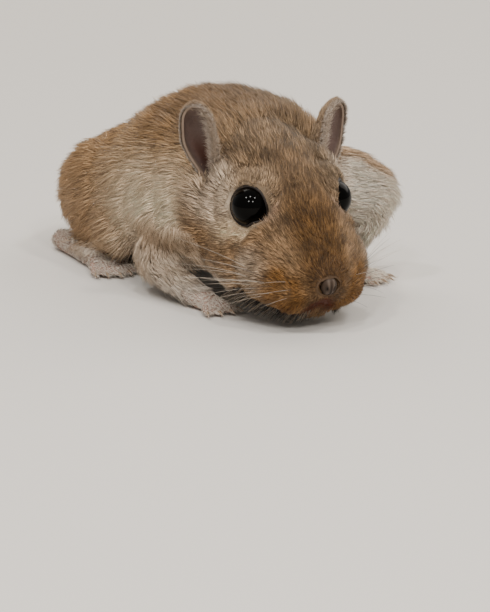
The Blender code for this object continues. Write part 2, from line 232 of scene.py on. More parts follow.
# %% Colours and places
GOLD_BACK = (0.55, 0.33, 0.145)
TAN_FLANK = (0.54, 0.355, 0.20)
PALE_NECK = (0.97, 0.83, 0.63)
GREY_WHITE = (0.68, 0.55, 0.42)
CREAM_WHITE = (0.80, 0.71, 0.61)
ARM_WHITE = (0.92, 0.81, 0.68)
CROWN = (0.40, 0.27, 0.155)
FOREHEAD = (0.33, 0.21, 0.112)
BRIDGE = (0.20, 0.105, 0.037)
GINGER = (0.33, 0.16, 0.044)
CHEEK_TAN = (0.44, 0.28, 0.15)
EYE_RING = (0.80, 0.62, 0.42)
EYE_RING_TOP = (0.50, 0.355, 0.22)
PAD_SHADE = (0.10, 0.055, 0.03)
LID_FOLD = (0.50, 0.34, 0.235)
LIP_BROWN = (0.15, 0.024, 0.008)
TAIL_DARK = (0.07, 0.05, 0.035)

# Places of the head's left side, in its own frame
EYE_RADIUS = 3.3
PAD_MIDDLE = (4.6, 5.4, -3.0)
PAD_BACK = (8.3, 9.8, -2.2)
LID_FOLD_MIDDLE = (5.7, 13.4, 5.1)
BELOW_EAR = (11.0, 26.0, 3.0)
WHISKER_BED = [(5.2, 6.6, 1.0), (3.1, 4.2, -1.4)]
MOUTH_SIDE = [(1.3, 2.4, -4.7), (2.6, 4.2, -6.3), (4.0, 7.0, -7.8)]
MOUTH = [(-x, y, z) for x, y, z in reversed(MOUTH_SIDE)] + [(0.0, 1.2, -3.0)] + MOUTH_SIDE

# Lines of the body, in its level frame
LEFT_ARM = [(14.0, 35.0, 18.4), (25.8, 31.0, 17.0), (28.6, 31.0, 12.6), (26.2, 33.0, 7.4), (24.0, 33.4, 3.8)]
RIGHT_ARM = [(-8.4, 41.5, 9.0), (-10.4, 40.0, 6.4), (-10.6, 35.6, 4.6), (-9.8, 31.0, 2.8)]
TAIL_PATH = [
    (5.2, 82, 11), (5.6, 88, 8), (6.8, 93.5, 4.2), (10.5, 101, 1.8), (20, 114, 1.5),
    (32, 126, 1.5), (45, 137.5, 1.5), (57, 146.5, 1.8), (66, 152, 2), (77, 158, 1),
]
# The height at which the flank turns white, at four distances behind the nose
WHITE_LINE = ((30, 50, 62, 90), (12.0, 9.0, 2.5, 2.0))
# The height from which the left foreleg's upper side is tan, at two distances to the left
SLEEVE_LINE = ((21, 25), (20.5, 15.5))
TAIL_TUFT = (136, 150)
LIMBS = ("foreleg", "forepaw", "hind_foot")
print("mouth's line from", MOUTH[0], "to", MOUTH[-1])


# %% [markdown]
# Each soft step below takes a distance and the two values, in millimetres, between which one colour gives way
# to the next. The waves added to a distance make that edge ragged, as where hairs of two colours mingle.

# %% Colours of the trunk
def trunk_colour(body, cloud):
    """Golden brown above and tan at the side, with a pale neck, a dark nape and a white underside."""
    left, behind, up = body.T
    colour = mix(TAN_FLANK, GOLD_BACK, soft_step(up + 2 * cloud, 14, 27))
    neck = soft_step(behind, 23, 33) * soft_step(behind - 2 * cloud, 64, 42)
    neck *= soft_step(up + 1.5 * cloud, 30, 18)
    colour = mix(colour, PALE_NECK, 0.9 * neck)
    above_line = up - (np.interp(behind, *WHITE_LINE) + 1.2 * cloud)
    colour = mix(colour, GREY_WHITE, soft_step(above_line, 3.0, -1.5))
    colour = mix(colour, CREAM_WHITE, soft_step(above_line, -1.0, -4.0))
    nape = soft_step(behind, 52, 40) * soft_step(up, 25, 31)
    colour = mix(colour, FOREHEAD, 0.95 * nape)
    return colour * (1.0 - 0.30 * (nape * soft_step(left + 1.5 * cloud, -1, 10))[:, None])


# %% Colours of the face
def streaked(face, field, strength):
    """The face's colour, made darker and lighter by a wave field."""
    return face * (1.0 + strength * np.clip(field, -1.6, 1.6)[:, None])


def face_colour(head):
    """Tan cheeks, a dark crown and bridge, ginger pads, a cream ring round the eye and brown lips."""
    mirrored = on_left(head)
    side, behind, up = mirrored.T
    face = mix(CHEEK_TAN, FOREHEAD, soft_step(up - 0.35 * side, 0.0, 5.0))
    face = mix(face, CROWN, soft_step(behind, 20, 28) * soft_step(up, 5, 9))
    face = mix(face, GREY_WHITE, soft_step(up + 0.25 * behind, 0.0, -5.5) * soft_step(behind, 11, 16))
    face = mix(face, BRIDGE, soft_step(behind, 18, 9) * soft_step(side, 5.8, 2.2) * soft_step(up, -4, 1))
    pad = gap_to(mirrored, PAD_MIDDLE) + 0.35 * wave_field(head, 2.6, 31)
    face = mix(face, GINGER, soft_step(pad, 5.0, 3.3))
    face = mix(face, GREY_WHITE, 0.7 * soft_step(gap_to(mirrored, PAD_BACK), 4.8, 1.9))
    bed = along_path(mirrored, WHISKER_BED)[0] + 0.5 * wave_field(head, 2.0, 33)
    face = mix(face, PAD_SHADE, 0.75 * soft_step(bed, 1.9, 0.6))
    face = mix(face, PAD_SHADE, 0.42 * soft_step(side, 3.8, 1.6) * soft_step(behind, 4.6, 2.2))
    face = mix(face, CREAM_WHITE, 0.9 * soft_step(up, -8.2, -9.6) * soft_step(behind, 3.0, 5.0))

    ring_width = 4.3 + 1.5 * soft_step(behind, 15, 20) + 1.4 * soft_step(up, 4, 0)
    ring = mix(EYE_RING, EYE_RING_TOP, soft_step(up, 4.0, 8.0))
    ragged = gap_to(mirrored, EYE_MIDDLE) + 0.55 * wave_field(head, 2.2, 51)
    face = mix(face, ring, 0.9 * soft_step(ragged, ring_width + 2.2, ring_width - 1.2))
    face = mix(face, LID_FOLD, 0.8 * soft_step(gap_to(mirrored, LID_FOLD_MIDDLE), 2.8, 0.9))

    face = streaked(face, wave_field(head * (1.0, 0.22, 0.8), 1.5, 5), 0.17)
    brow = wave_field(head * (1.0, 0.35, 0.8), 3.0, 41) * soft_step(behind, 15, 20) * soft_step(up, 3.5, 6.5)
    face *= 1.0 - 0.42 * soft_step(brow, 0.35, 1.2)[:, None]
    face = streaked(face, wave_field(head * (1.0, 0.45, 1.0), 1.25, 9) * soft_step(behind, 17, 11), 0.24)
    # Painted shade: the face's far, left side is darkened by up to a third
    shaded_far_side = head[:, 0] + 0.3 * np.maximum(behind - 16, 0)
    face *= 1.0 - 0.33 * soft_step(shaded_far_side, 3.5, 8.5)[:, None]

    patch = np.linalg.norm((mirrored - BELOW_EAR) * (1.0, 0.8, 1.0), axis=1)
    face = mix(face, GREY_WHITE, 0.8 * soft_step(patch, 7.0, 3.0))
    lip, _ = along_path(head, MOUTH)
    return mix(face, LIP_BROWN, 0.9 * soft_step(lip, 1.5, 0.6) * soft_step(behind, 5.5, 3.5))


# %% Colours of the limbs and the tail, and the ticking
def limb_and_tail(colour, body, cloud, nodes):
    """Put white sleeves on the limbs, a tan upper side on the left foreleg and a dark tuft on the tail."""
    left, behind, up = body.T
    limb = np.isin(nodes, [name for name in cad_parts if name.startswith(LIMBS)])
    sleeve = mix(CREAM_WHITE, GREY_WHITE, soft_step(up, 2.0, 6.5))
    sleeve = mix(sleeve, TAN_FLANK, 0.5 * soft_step(up + cloud, 7.5, 12.0))
    colour[limb] = sleeve[limb]
    near_arm, _ = along_path(body, LEFT_ARM)
    colour = mix(colour, ARM_WHITE, soft_step(near_arm, 11.0, 8.5) * soft_step(left, 15, 19))
    above_white = up + 1.2 * (behind - 31) + 0.8 * cloud - np.interp(left, *SLEEVE_LINE)
    colour = mix(colour, TAN_FLANK, 0.85 * soft_step(above_white, 0.0, 4.0) * soft_step(left, 13, 16))
    tail = np.array([name.startswith("tail") for name in nodes])
    over = soft_step(up, 1.5, 3.0)
    shaded = mix(CHEEK_TAN, GOLD_BACK, over)
    shaded = mix(shaded, TAIL_DARK, soft_step(behind, *TAIL_TUFT) * (0.55 + 0.45 * over))
    colour[tail] = shaded[tail]
    return colour


def markings(points, nodes):
    """The coat's colour at each point, and how strongly it is ticked with black there."""
    head = in_head(points)
    body = in_body(points)
    side, behind, up = on_left(head).T
    cloud = wave_field(body, 13.0, 3)
    on_head = soft_step(body[:, 1], 31, 25)
    colour = mix(trunk_colour(body, cloud), face_colour(head), on_head)
    colour = limb_and_tail(colour, body, cloud, nodes)
    over_face = 0.55 + 0.6 * soft_step(up, 4, 10)
    on_muzzle = 0.9 * soft_step(behind, 18, 13) * soft_step(side, 9, 5)
    on_back = 0.25 + 0.30 * soft_step(body[:, 2], 12, 28)
    ticking = np.where(on_head > 0.5, np.maximum(over_face, on_muzzle), on_back)
    ticking *= 1.0 + 0.5 * wave_field(body, 3.0, 8)
    ticking *= 1.0 - soft_step(colour.mean(axis=1), 0.42, 0.62)
    return colour, ticking


print("markings ready")

# %% [markdown]
# ## The skin
# The skin is one closed surface under the whole coat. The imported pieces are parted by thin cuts, so copies of
# them are swollen until they touch, fused by a voxel remesh, and then drawn in by the depth of the coat:
# nearly two millimetres on the back, half of one on the face and a quarter on the feet. Modelling it again
# from nothing would risk a coat that doesn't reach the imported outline.

# %% Fuse the pieces of flesh
FLESH = [name for name in sorted(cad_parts) if name.split("_")[0] not in ("eye", "ear", "nose")]
# How far the copies are swollen, and the size of the voxels, in millimetres
SWELL = 0.25
FINENESS = 0.42


def only(*objects):
    """Select these objects alone, the first of them active."""
    bpy.ops.object.select_all(action="DESELECT")
    for one in objects:
        one.select_set(True)
    bpy.context.view_layer.objects.active = objects[0]


def apply_modifier(piece, kind, **settings):
    """Add a modifier, set it and apply it."""
    only(piece)
    made = piece.modifiers.new(kind.lower(), kind)
    for setting, value in settings.items():
        setattr(made, setting, value)
    bpy.ops.object.modifier_apply(modifier=made.name)


def edit(piece, *steps):
    """Run edit-mode steps on the whole of a piece."""
    only(piece)
    bpy.ops.object.mode_set(mode="EDIT")
    bpy.ops.mesh.select_all(action="SELECT")
    for step in steps:
        step()
    bpy.ops.object.mode_set(mode="OBJECT")


copies = []
for name in FLESH:
    copy = bpy.data.objects.new("flesh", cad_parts[name].data.copy())
    bpy.context.scene.collection.objects.link(copy)
    copies.append(copy)
only(*copies)
bpy.ops.object.join()
skin = bpy.context.object
skin.name = "skin"
edit(skin, lambda: bpy.ops.mesh.remove_doubles(threshold=0.001 * MM))
apply_modifier(skin, "DISPLACE", strength=SWELL * MM, mid_level=0.0)
apply_modifier(skin, "REMESH", mode="VOXEL", voxel_size=FINENESS * MM)
apply_modifier(skin, "SMOOTH", factor=0.5, iterations=3)
print("fused skin", len(skin.data.vertices), "points")


# %% [markdown]
# ## What grows where
# A table gives the coat of each part of the body: how long its tufts are, how far they stand up, how wide and
# how dense they are, and how deep the coat lies. The parts meet at their cuts, where the coat doesn't change
# at all, so each value is spread over the skin from point to point until the steps are gone.

# %% Coat table and the skin's points
# The table's columns: lengths in millimetres, lifts in degrees, and tufts in a square millimetre
LENGTH, LIFT, WIDTH, DEPTH, DENSITY = range(5)
COAT = {
    "head": (3.0, 18.0, 0.14, 0.8, 26.0),
    "neck": (5.4, 17.0, 0.17, 1.3, 22.0),
    "chest": (6.4, 15.0, 0.19, 1.7, 19.0),
    "rump": (6.8, 14.0, 0.19, 1.7, 17.0),
    "thigh": (5.6, 14.0, 0.19, 1.4, 16.0),
    "foreleg": (3.9, 18.0, 0.15, 0.8, 20.0),
    "forepaw": (1.1, 14.0, 0.11, 0.2, 26.0),
    "hind": (1.4, 14.0, 0.12, 0.25, 18.0),
    "tail": (3.0, 15.0, 0.15, 0.5, 15.0),
}
# Columns that change along the head: distances behind the nose and the values there
ALONG_HEAD = {
    LENGTH: ((0, 3, 8, 16, 26, 34), (1.1, 1.6, 2.2, 2.8, 3.6, 4.6)),
    WIDTH: ((0, 8, 20, 34), (0.10, 0.12, 0.14, 0.18)),
    DEPTH: ((0, 3, 8, 16, 26, 34), (0.2, 0.25, 0.35, 0.5, 0.75, 1.1)),
    DENSITY: ((0, 8, 20, 34), (44.0, 36.0, 30.0, 18.0)),
}


def read(source, field, kind, width):
    """One field of a mesh's parts, as an array with rows of a width."""
    flat = np.empty(len(source) * width, kind)
    source.foreach_get(field, flat)
    return flat.reshape(-1, width)


def mesh_arrays(mesh):
    """A mesh's points, their normals and its edges as arrays."""
    points, normals = (read(mesh.vertices, field, float, 3) for field in ("co", "normal"))
    return points, normals, read(mesh.edges, "vertices", int, 2)


def spread(values, edges, rounds):
    """Average the values of neighbouring points, again and again."""
    count = np.bincount(edges.ravel(), minlength=len(values)).astype(float)
    flat = values.reshape(len(values), -1).astype(float)
    for _ in range(rounds):
        total = np.empty_like(flat)
        for column in range(flat.shape[1]):
            total[:, column] = np.bincount(edges[:, 0], flat[edges[:, 1], column], len(values))
            total[:, column] += np.bincount(edges[:, 1], flat[edges[:, 0], column], len(values))
        flat = 0.5 * flat + 0.5 * total / np.maximum(count, 1.0)[:, None]
    return flat.reshape(values.shape)


def nearest_nodes(points):
    """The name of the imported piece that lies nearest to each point."""
    sites = []
    for name in FLESH:
        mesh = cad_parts[name].data
        sites.extend((vert.co, name) for vert in mesh.vertices)
        sites.extend((face.center, name) for face in mesh.polygons)
    tree = KDTree(len(sites))
    for i, (place, _) in enumerate(sites):
        tree.insert(place, i)
    tree.balance()
    return np.array([sites[tree.find(point)[1]][1] for point in points])


points, normals, edges = mesh_arrays(skin.data)
nodes = nearest_nodes(points)
table = np.array([COAT[name.split("_")[0]] for name in nodes])
head = in_head(points)
body = in_body(points)
is_head = nodes == "head"
for column, (places, values) in ALONG_HEAD.items():
    table[is_head, column] = np.interp(head[is_head, 1], places, values)
tail_end = soft_step(body[:, 1], *TAIL_TUFT)
table[:, LENGTH] += 4.0 * tail_end
table[:, LIFT] += 6.0 * tail_end
table = spread(table, edges, 14)
near_eye = soft_step(gap_to(on_left(head), EYE_MIDDLE), 7.0, 4.0)
table[:, LENGTH] *= 1 - 0.62 * near_eye
table[:, WIDTH] *= 1 - 0.3 * near_eye
table[:, DEPTH] = table[:, DEPTH] * (1 - near_eye) + 0.2 * near_eye
print("coat table spread over", len(points), "points")

# %% [markdown]
# The skin is drawn in along its normals by the depth at each point, held in a vertex group that a Displace
# modifier reads. A few smoothing steps then take out the ripples that the voxels leave. The closed mouth is
# a crease, and it is pressed into the same mesh.

# %% Draw the skin in
DEEPEST = 4.0
lip_gap, _ = along_path(head, MOUTH)
crease = 0.9 * soft_step(lip_gap, 0.8, 0.1)
depth = table[:, DEPTH] + SWELL + crease
group = skin.vertex_groups.new(name="depth")
for i, share in enumerate(depth / DEEPEST):
    group.add([i], float(share), "REPLACE")
apply_modifier(skin, "DISPLACE", strength=-DEEPEST * MM, mid_level=0.0, vertex_group="depth")
apply_modifier(skin, "SMOOTH", factor=0.5, iterations=4)
skin.vertex_groups.clear()
skin.data.shade_smooth()
print("skin drawn in by", round(depth.min(), 2), "to", round(depth.max(), 2), "mm")

# %% [markdown]
# ## Lids and ear openings
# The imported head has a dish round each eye. A real lid climbs the globe as far as its dark rim, so the skin
# round the eye is turned about the globe's middle towards the line of that rim, which is drawn out to a
# corner at the front. Where an ear opens, the skin is moved behind the ear's cup, so that the cup is hollow.

# %% Shape the lids
EYE_AXIS = (0.80, -0.50, 0.33)
# The half angle of each opening in degrees. The far eye shows less of its globe in the pose.
LID_OPENING = {"right": 79.0, "left": 66.0}
# The lid's skin is turned fully at the first distance from the eye's middle and not at all at the second
LID_REACH = (3.9, 6.4)
LID_PULL = 0.88
# Places of the head that the skin fills out: the left side's middle, the reach, and the rise on the right and
# on the left
FULLNESS = {
    "whisker_pad": ((7.8, 9.5, -2.2), 6.0, 0.9, 1.6),
    "upper_lip": ((3.6, 4.6, -5.2), 3.8, 0.9, 0.9),
    "temple": ((11.0, 25.5, 7.0), 6.5, 0.8, 2.2),
    "ear_front": ((12.4, 29.0, 7.2), 5.0, 0.0, 1.8),
    "lid_fold": ((7.7, 13.4, 3.0), 2.6, 0.6, 0.4),
}
# The same for the left foreleg, in the body's frame, with the way that the moved skin faces instead of a side
FOREARM_SHAPE = [
    ((31.0, 29.6, 9.0), 8.5, -2.3, (1.0, 0.0, -0.2)),
    ((23.6, 32.2, 12.0), 4.6, 1.3, (-1.0, -0.6, 0.0)),
]


def eye_frame(hand):
    """The ways out of an eye, to its front and to its top, in the head's frame. Hand is -1 on the right."""
    out = unit(np.array([EYE_AXIS]) * (hand, 1, 1))[0]
    front = unit(np.array([(0.0, -1.0, 0.0) - out * -out[1]]))[0]
    over = np.cross(out, front)
    return out, front, over * np.sign(over[2])


def lid_angle(word, turn):
    """How far the lid's edge stands from the eye's axis. The turn is 0 at the front and rises upwards."""
    corner = np.maximum(0.0, np.cos(turn - 0.15)) ** 9
    heel = np.maximum(0.0, -np.cos(turn)) ** 6
    fold = np.maximum(0.0, np.cos(turn + 0.5)) ** 10
    return np.radians(LID_OPENING[word] + 13.0 * corner + 3.0 * heel - 19.0 * fold)


def round_eye(head, word, hand):
    """Points in the head's frame as seen from an eye: distance, angle off its axis, turn and direction."""
    out, front, over = eye_frame(hand)
    from_eye = head - EYE_MIDDLE * (hand, 1, 1)
    radial = from_eye - (from_eye @ out)[:, None] * out
    away = unit(radial)
    angle = np.arctan2(np.linalg.norm(radial, axis=1), from_eye @ out)
    return np.linalg.norm(from_eye, axis=1), angle, np.arctan2(away @ over, away @ front), away


points, normals, edges = mesh_arrays(skin.data)
head = in_head(points)
body = in_body(points)
for hand in SIDES.values():
    for middle, reach, rise_right, rise_left in FULLNESS.values():
        rise = rise_right if hand < 0 else rise_left
        share = soft_step(gap_to(head, np.array(middle) * (hand, 1, 1)), reach, 0.0)
        points += normals * (rise * MM * share)[:, None]
for middle, reach, rise, facing in FOREARM_SHAPE:
    share = soft_step(gap_to(body, middle), reach, 1.5) * soft_step(normals @ facing, -0.3, 0.5)
    points += normals * (rise * MM * share)[:, None]
head = in_head(points)
for word, hand in SIDES.items():
    reach, angle, turn, away = round_eye(head, word, hand)
    edge = lid_angle(word, turn)
    pull = soft_step(reach, LID_REACH[1], LID_REACH[0]) * soft_step(angle, 2.4, 2.0)
    new_angle = (edge + (angle - edge) * (1 - LID_PULL * pull))[:, None]
    heading = eye_frame(hand)[0] * np.cos(new_angle) + away * np.sin(new_angle)
    near = pull > 0
    head[near] = (EYE_MIDDLE * (hand, 1, 1) + reach[:, None] * heading)[near]
print("lids drawn round the eyes")

# %% Open the ears
# The ears' middles, half sizes, turn to the side, tilt outwards and lean back
EAR_PLACES = {"right": (-12.1, 31.4, 8.4), "left": (12.8, 31.4, 5.9)}
EAR_RADII = np.array((3.4, 3.2, 8.8))
EAR_FACING = {"right": math.radians(36), "left": math.radians(26)}
EAR_TILT = {"right": math.radians(14), "left": math.radians(5)}
EAR_LEAN = {"right": math.radians(6), "left": math.radians(14)}


def ear_matrix(word, hand):
    """Where an ear sits, and how it is turned."""
    return (
        head_place
        @ Matrix.Translation(Vector(EAR_PLACES[word]) * MM)
        @ Matrix.Rotation(hand * EAR_TILT[word], 4, "Y")
        @ Matrix.Rotation(-EAR_LEAN[word], 4, "X")
        @ Matrix.Rotation(hand * EAR_FACING[word], 4, "Z")
    )


def ear_width(high):
    """The ear's outline: round and broad at its top, and drawn in towards its root."""
    return 0.98 + 0.24 * soft_step(high, 0.35, 0.98) - 0.46 * soft_step(high, 0.45, -0.9)


def ear_shift(high, hand):
    """How far the outline bends forwards at the root, where the notch of the ear lies."""
    return -hand * 1.7 * soft_step(high, 0.2, -1.0)


def on_ear(local, hand):
    """Points of an ear's own frame as shares of its outline: across it, up it, and from its middle."""
    high = local[:, 2] / EAR_RADII[2]
    across = (local[:, 0] - ear_shift(high, hand)) / (EAR_RADII[0] * ear_width(high))
    return across, high, np.sqrt(across**2 + (local[:, 1] / EAR_RADII[1]) ** 2 + high**2)


def set_points(piece, points):
    """Move all of a piece's points to new places."""
    piece.data.vertices.foreach_set("co", points.ravel())
    piece.data.update()


# How far behind the cup the skin lies, in millimetres
EAR_ROOM = 0.2
points = from_head(head)
for word, hand in SIDES.items():
    place = np.array(ear_matrix(word, hand))
    local = moved(points, np.linalg.inv(place)) / MM
    across, high, _ = on_ear(local, hand)
    room = 1 - across**2 - high**2
    wall = EAR_RADII[1] * np.sqrt(np.maximum(room, 0)) + EAR_ROOM
    inside = (room > 0) & (local[:, 1] < wall) & (local[:, 1] > -EAR_RADII[1] * 1.2)
    local[inside, 1] = wall[inside]
    points[inside] = moved(local[inside] * MM, place)
    print("ear", word, "moved", int(inside.sum()), "points")
set_points(skin, points)

# %% [markdown]
# ## The lie of the coat
# Hair starts at the nose and streams back over the head, parts round the eyes, and runs on over the back,
# sinking towards the belly. On the limbs it runs down to the toes and on the tail out to its end. The field
# is worked out on the skin's points, spread like the table and laid flat on the surface.

# %% Direction field
points, normals, edges = mesh_arrays(skin.data)
head = in_head(points)
body = in_body(points)
side, behind, up = head[:, 0], head[:, 1], head[:, 2]
flow = unit(np.stack((0.4 * side, behind + 4.0, 0.4 * up), axis=1))
flow[:, 2] -= 0.35 * soft_step(np.abs(side), 4, 10) * soft_step(up, 6, 0)
flow[:, 2] -= 0.9 * soft_step(up, -2.5, -6.0) * soft_step(behind, 16, 8)
away = on_left(head) - EYE_MIDDLE
eye_reach = np.linalg.norm(away, axis=1)
away[:, 0] *= np.where(side < 0, -1.0, 1.0)
flow = mix(flow, unit(away), 0.7 * soft_step(eye_reach, 8.0, 4.2))
flow = unit(flow) @ HEAD_TO_WORLD[:3, :3].T
back = np.tile((0.0, 1.0, 0.0), (len(points), 1))
back[:, 2] = -0.5 * (1.0 - np.abs(normals[:, 2])) - 0.5 * soft_step(body[:, 1], 74, 90)
flow = mix(back, flow, soft_step(body[:, 1], 33, 25))
kind = np.array([name.split("_")[0] for name in nodes])
left_side = body[:, 0] > 4
for which, way in (
    ((kind == "foreleg") & left_side, along_path(body, LEFT_ARM)[1]),
    ((kind == "foreleg") & ~left_side, along_path(body, RIGHT_ARM)[1]),
    ((kind == "forepaw") & left_side, (0.56, -0.83, -0.15)),
    ((kind == "forepaw") & ~left_side, (0.05, -1.0, -0.15)),
    (kind == "hind", (0.0, -1.0, -0.1)),
    (kind == "thigh", (0.0, 0.86, -0.5)),
    (kind == "tail", along_path(body, TAIL_PATH)[1]),
):
    flow[which] = np.broadcast_to(way, flow.shape)[which]
flow = spread(unit(flow), edges, 16)
flow = unit(flow - normals * np.sum(flow * normals, axis=1, keepdims=True))
colour, ticking = markings(points, nodes)
colour = spread(colour, edges, 3)
print("direction field laid on the skin")

# %% [markdown]
# ## The skin's finish
# Little of the skin shows: between the tufts, on the feet and round the eyes. It carries the markings,
# darkened like the grey roots of the hair, with a fine grain. Its unwrap comes from Smart UV Project, and the
# tufts borrow their places on it later.

# %% Unwrap and paint the skin
UNDERCOAT = 0.42
BARE_PINK = (0.50, 0.33, 0.26)


def colour_points(mesh, colours):
    """Store one colour at each point of a mesh, for its material to read."""
    layer = mesh.color_attributes.new("coat", "FLOAT_COLOR", "POINT")
    flat = np.ones((len(colours), 4))
    flat[:, :3] = colours
    layer.data.foreach_set("color", flat.ravel())


bare = np.isin(kind, ("forepaw", "hind"))
skin_colour = colour * (UNDERCOAT + 0.36 * soft_step(colour.mean(axis=1), 0.45, 0.7))[:, None]
skin_colour[bare] = BARE_PINK
colour_points(skin.data, spread(skin_colour, edges, 3))
while skin.data.uv_layers:
    skin.data.uv_layers.remove(skin.data.uv_layers[0])
skin.data.uv_layers.new(name="OFBake")
edit(skin, lambda: bpy.ops.uv.smart_project(angle_limit=1.15, island_margin=0.002))
hide = Paint("skin_under_the_coat", Roughness=0.72, Specular_IOR_Level=0.3)
grain = hide.noise(2600.0, 3.0)
hide.feed("Base Color", hide.blend(grain * 0.35, hide.attribute("coat"), (0.05, 0.035, 0.03, 1.0)))
hide.feed("Normal", hide.bump(grain, 0.00012))
skin.data.materials.clear()
skin.data.materials.append(hide.material)
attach(skin, "root")
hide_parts(*FLESH)
print("skin", len(skin.data.polygons), "faces")

# %% [markdown]
# ## The eyes
# A gerbil's eye is a large, bulging, almost black globe, with no white to be seen. Round its opening runs a
# dark lid rim, drawn out a little to a corner at the front. The globe is a fine sphere, and the rim is a thin
# ring that follows it, so nothing gapes from any side.

# %% Globes and lids
glass = Paint("eye_gloss", Roughness=0.04, Specular_IOR_Level=0.07)
iris = glass.noise(500.0, 2.0)
glass.feed("Base Color", glass.blend(iris, (0.0004, 0.0004, 0.0003, 1.0), (0.0011, 0.0008, 0.0006, 1.0)))
rim = Paint("lid_rim", Roughness=0.5, Specular_IOR_Level=0.3)
rim_grain = rim.noise(3000.0, 2.0)
rim.feed("Base Color", rim.blend(rim_grain, (0.006, 0.004, 0.003, 1.0), (0.022, 0.014, 0.010, 1.0)))
rim.feed("Normal", rim.bump(rim_grain, 0.00006))
# The lid rim's sections, its half sizes along and off the globe, and how far its middle stands off the globe
LID_STEPS = 72
LID_WIDE, LID_TALL, LID_STANDS = 0.27, 0.25, 0.12


def place_mesh(piece, matrix):
    """Move a mesh in its own data, so that its object stays at the origin."""
    piece.data.transform(matrix)
    piece.data.update()


def finish_piece(piece, name, paint, nodes=()):
    """Name a piece, give it its material and tie it to the body."""
    piece.name = name
    piece.data.name = name
    piece.data.materials.clear()
    piece.data.materials.append(paint.material)
    piece.data.shade_smooth()
    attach(piece, "root")
    if nodes:
        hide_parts(*nodes)
    return piece


def mesh_piece(name, points, faces):
    """A new object from points and faces."""
    mesh = bpy.data.meshes.new(name)
    mesh.from_pydata([tuple(point) for point in points], [], faces)
    piece = bpy.data.objects.new(name, mesh)
    bpy.context.scene.collection.objects.link(piece)
    return piece


def ring_tube(centres, outs, ups, thick_out, thick_up, sides=10):
    """A closed ring of round sections: their centres, their two directions and their half sizes."""
    count = len(centres)
    turn = np.linspace(0, 2 * math.pi, sides, endpoint=False)
    points = []
    for centre, out, high, wide, tall in zip(centres, outs, ups, thick_out, thick_up):
        for angle in turn:
            points.append(centre + out * wide * math.cos(angle) + high * tall * math.sin(angle))
    faces = []
    for i in range(count):
        for j in range(sides):
            k = (i + 1) % count
            m = (j + 1) % sides
            faces.append((i * sides + j, i * sides + m, k * sides + m, k * sides + j))
    return points, faces


for word, hand in SIDES.items():
    out, front, over = eye_frame(hand)
    aim = (turned.to_3x3() @ Vector(out)).to_track_quat("Z", "Y").to_matrix().to_4x4()
    bpy.ops.mesh.primitive_uv_sphere_add(segments=64, ring_count=40, radius=EYE_RADIUS * MM)
    globe = bpy.context.object
    place_mesh(globe, Matrix.Translation(eye_centres[word]) @ aim)
    finish_piece(globe, "eyeball_" + word, glass, ["eye_" + word])
    turns = np.linspace(0, 2 * math.pi, LID_STEPS, endpoint=False)
    angles = lid_angle(word, turns)[:, None]
    radial = front * np.cos(turns)[:, None] + over * np.sin(turns)[:, None]
    ups = out * np.cos(angles) + radial * np.sin(angles)
    outs = radial * np.cos(angles) - out * np.sin(angles)
    centres = EYE_MIDDLE * (hand, 1, 1) + ups * (EYE_RADIUS + LID_STANDS)
    wide = LID_WIDE + 0.10 * np.maximum(0.0, np.cos(turns)) ** 9
    ring_points, ring_faces = ring_tube(centres, outs, ups, wide, np.full(LID_STEPS, LID_TALL))
    lid = mesh_piece("lid", from_head(ring_points), ring_faces)
    edit(lid, lambda: bpy.ops.mesh.normals_make_consistent(inside=False))
    finish_piece(lid, "eyelid_" + word, rim)
print("eyes at", {word: [round(v / MM, 1) for v in place] for word, place in eye_centres.items()})

# %% [markdown]
# ## The nose
# The nose is a small bare pad, split by a groove, with a comma-shaped nostril on each side. It is a sphere
# whose points are drawn in along a groove down the middle and a slit at each side.

# %% Nose pad
NOSE_SIZE = (1.4, 1.2, 1.6)
# The pad's tone, its paler wings, and painted shade for the groove and the nostrils
NOSE_TONE, NOSE_WING, NOSE_CLEFT_SHADE = (0.034, 0.020, 0.012), (0.11, 0.078, 0.058), (0.012, 0.007, 0.005)


def face_poles():
    """Give a sphere in edit mode a quarter turn, so that its poles face front and back."""
    bpy.ops.transform.rotate(value=math.pi / 2, orient_axis="X", center_override=(0, 0, 0))


bpy.ops.mesh.primitive_uv_sphere_add(segments=64, ring_count=48, radius=1.0)
pad_piece = bpy.context.object
edit(pad_piece, face_poles)
spots = np.array([vert.co for vert in pad_piece.data.vertices])
facing = soft_step(-spots[:, 1], -0.1, 0.5)
groove = np.exp(-((spots[:, 0] / 0.10) ** 2)) * soft_step(spots[:, 2], 0.85, 0.2) * facing
slit_x = np.abs(spots[:, 0]) - 0.52 - 0.18 * spots[:, 2]
slit = np.exp(-((slit_x / 0.16) ** 2) - ((spots[:, 2] + 0.05) / 0.34) ** 2) * facing
spots *= (1.0 - 0.14 * groove - 0.42 * slit)[:, None]
set_points(pad_piece, spots * np.array(NOSE_SIZE) * MM)
place_mesh(pad_piece, Matrix.Translation((nose_low + nose_high) / 2) @ turned)
pad_piece.matrix_world = Matrix.Identity(4)
# Painted shade: the groove and the nostril slits are darkened
cleft_shade = np.clip(groove * 0.6 + slit * 1.2, 0, 1)
wing = np.exp(-(((np.abs(spots[:, 0]) - 0.34) / 0.16) ** 2)) * facing
colour_points(pad_piece.data, mix(mix(NOSE_TONE, NOSE_WING, 0.7 * wing), NOSE_CLEFT_SHADE, cleft_shade))
leather = Paint("nose_skin", Roughness=0.6, Specular_IOR_Level=0.25)
pebble = leather.node("ShaderNodeTexVoronoi", sockets={"Vector": leather.place(), "Scale": 4200.0})
leather.feed("Base Color", leather.attribute("coat"))
leather.feed("Normal", leather.bump(pebble, 0.00005))
finish_piece(pad_piece, "nose_pad", leather, ["nose"])
print("nose pad", len(pad_piece.data.polygons), "faces")
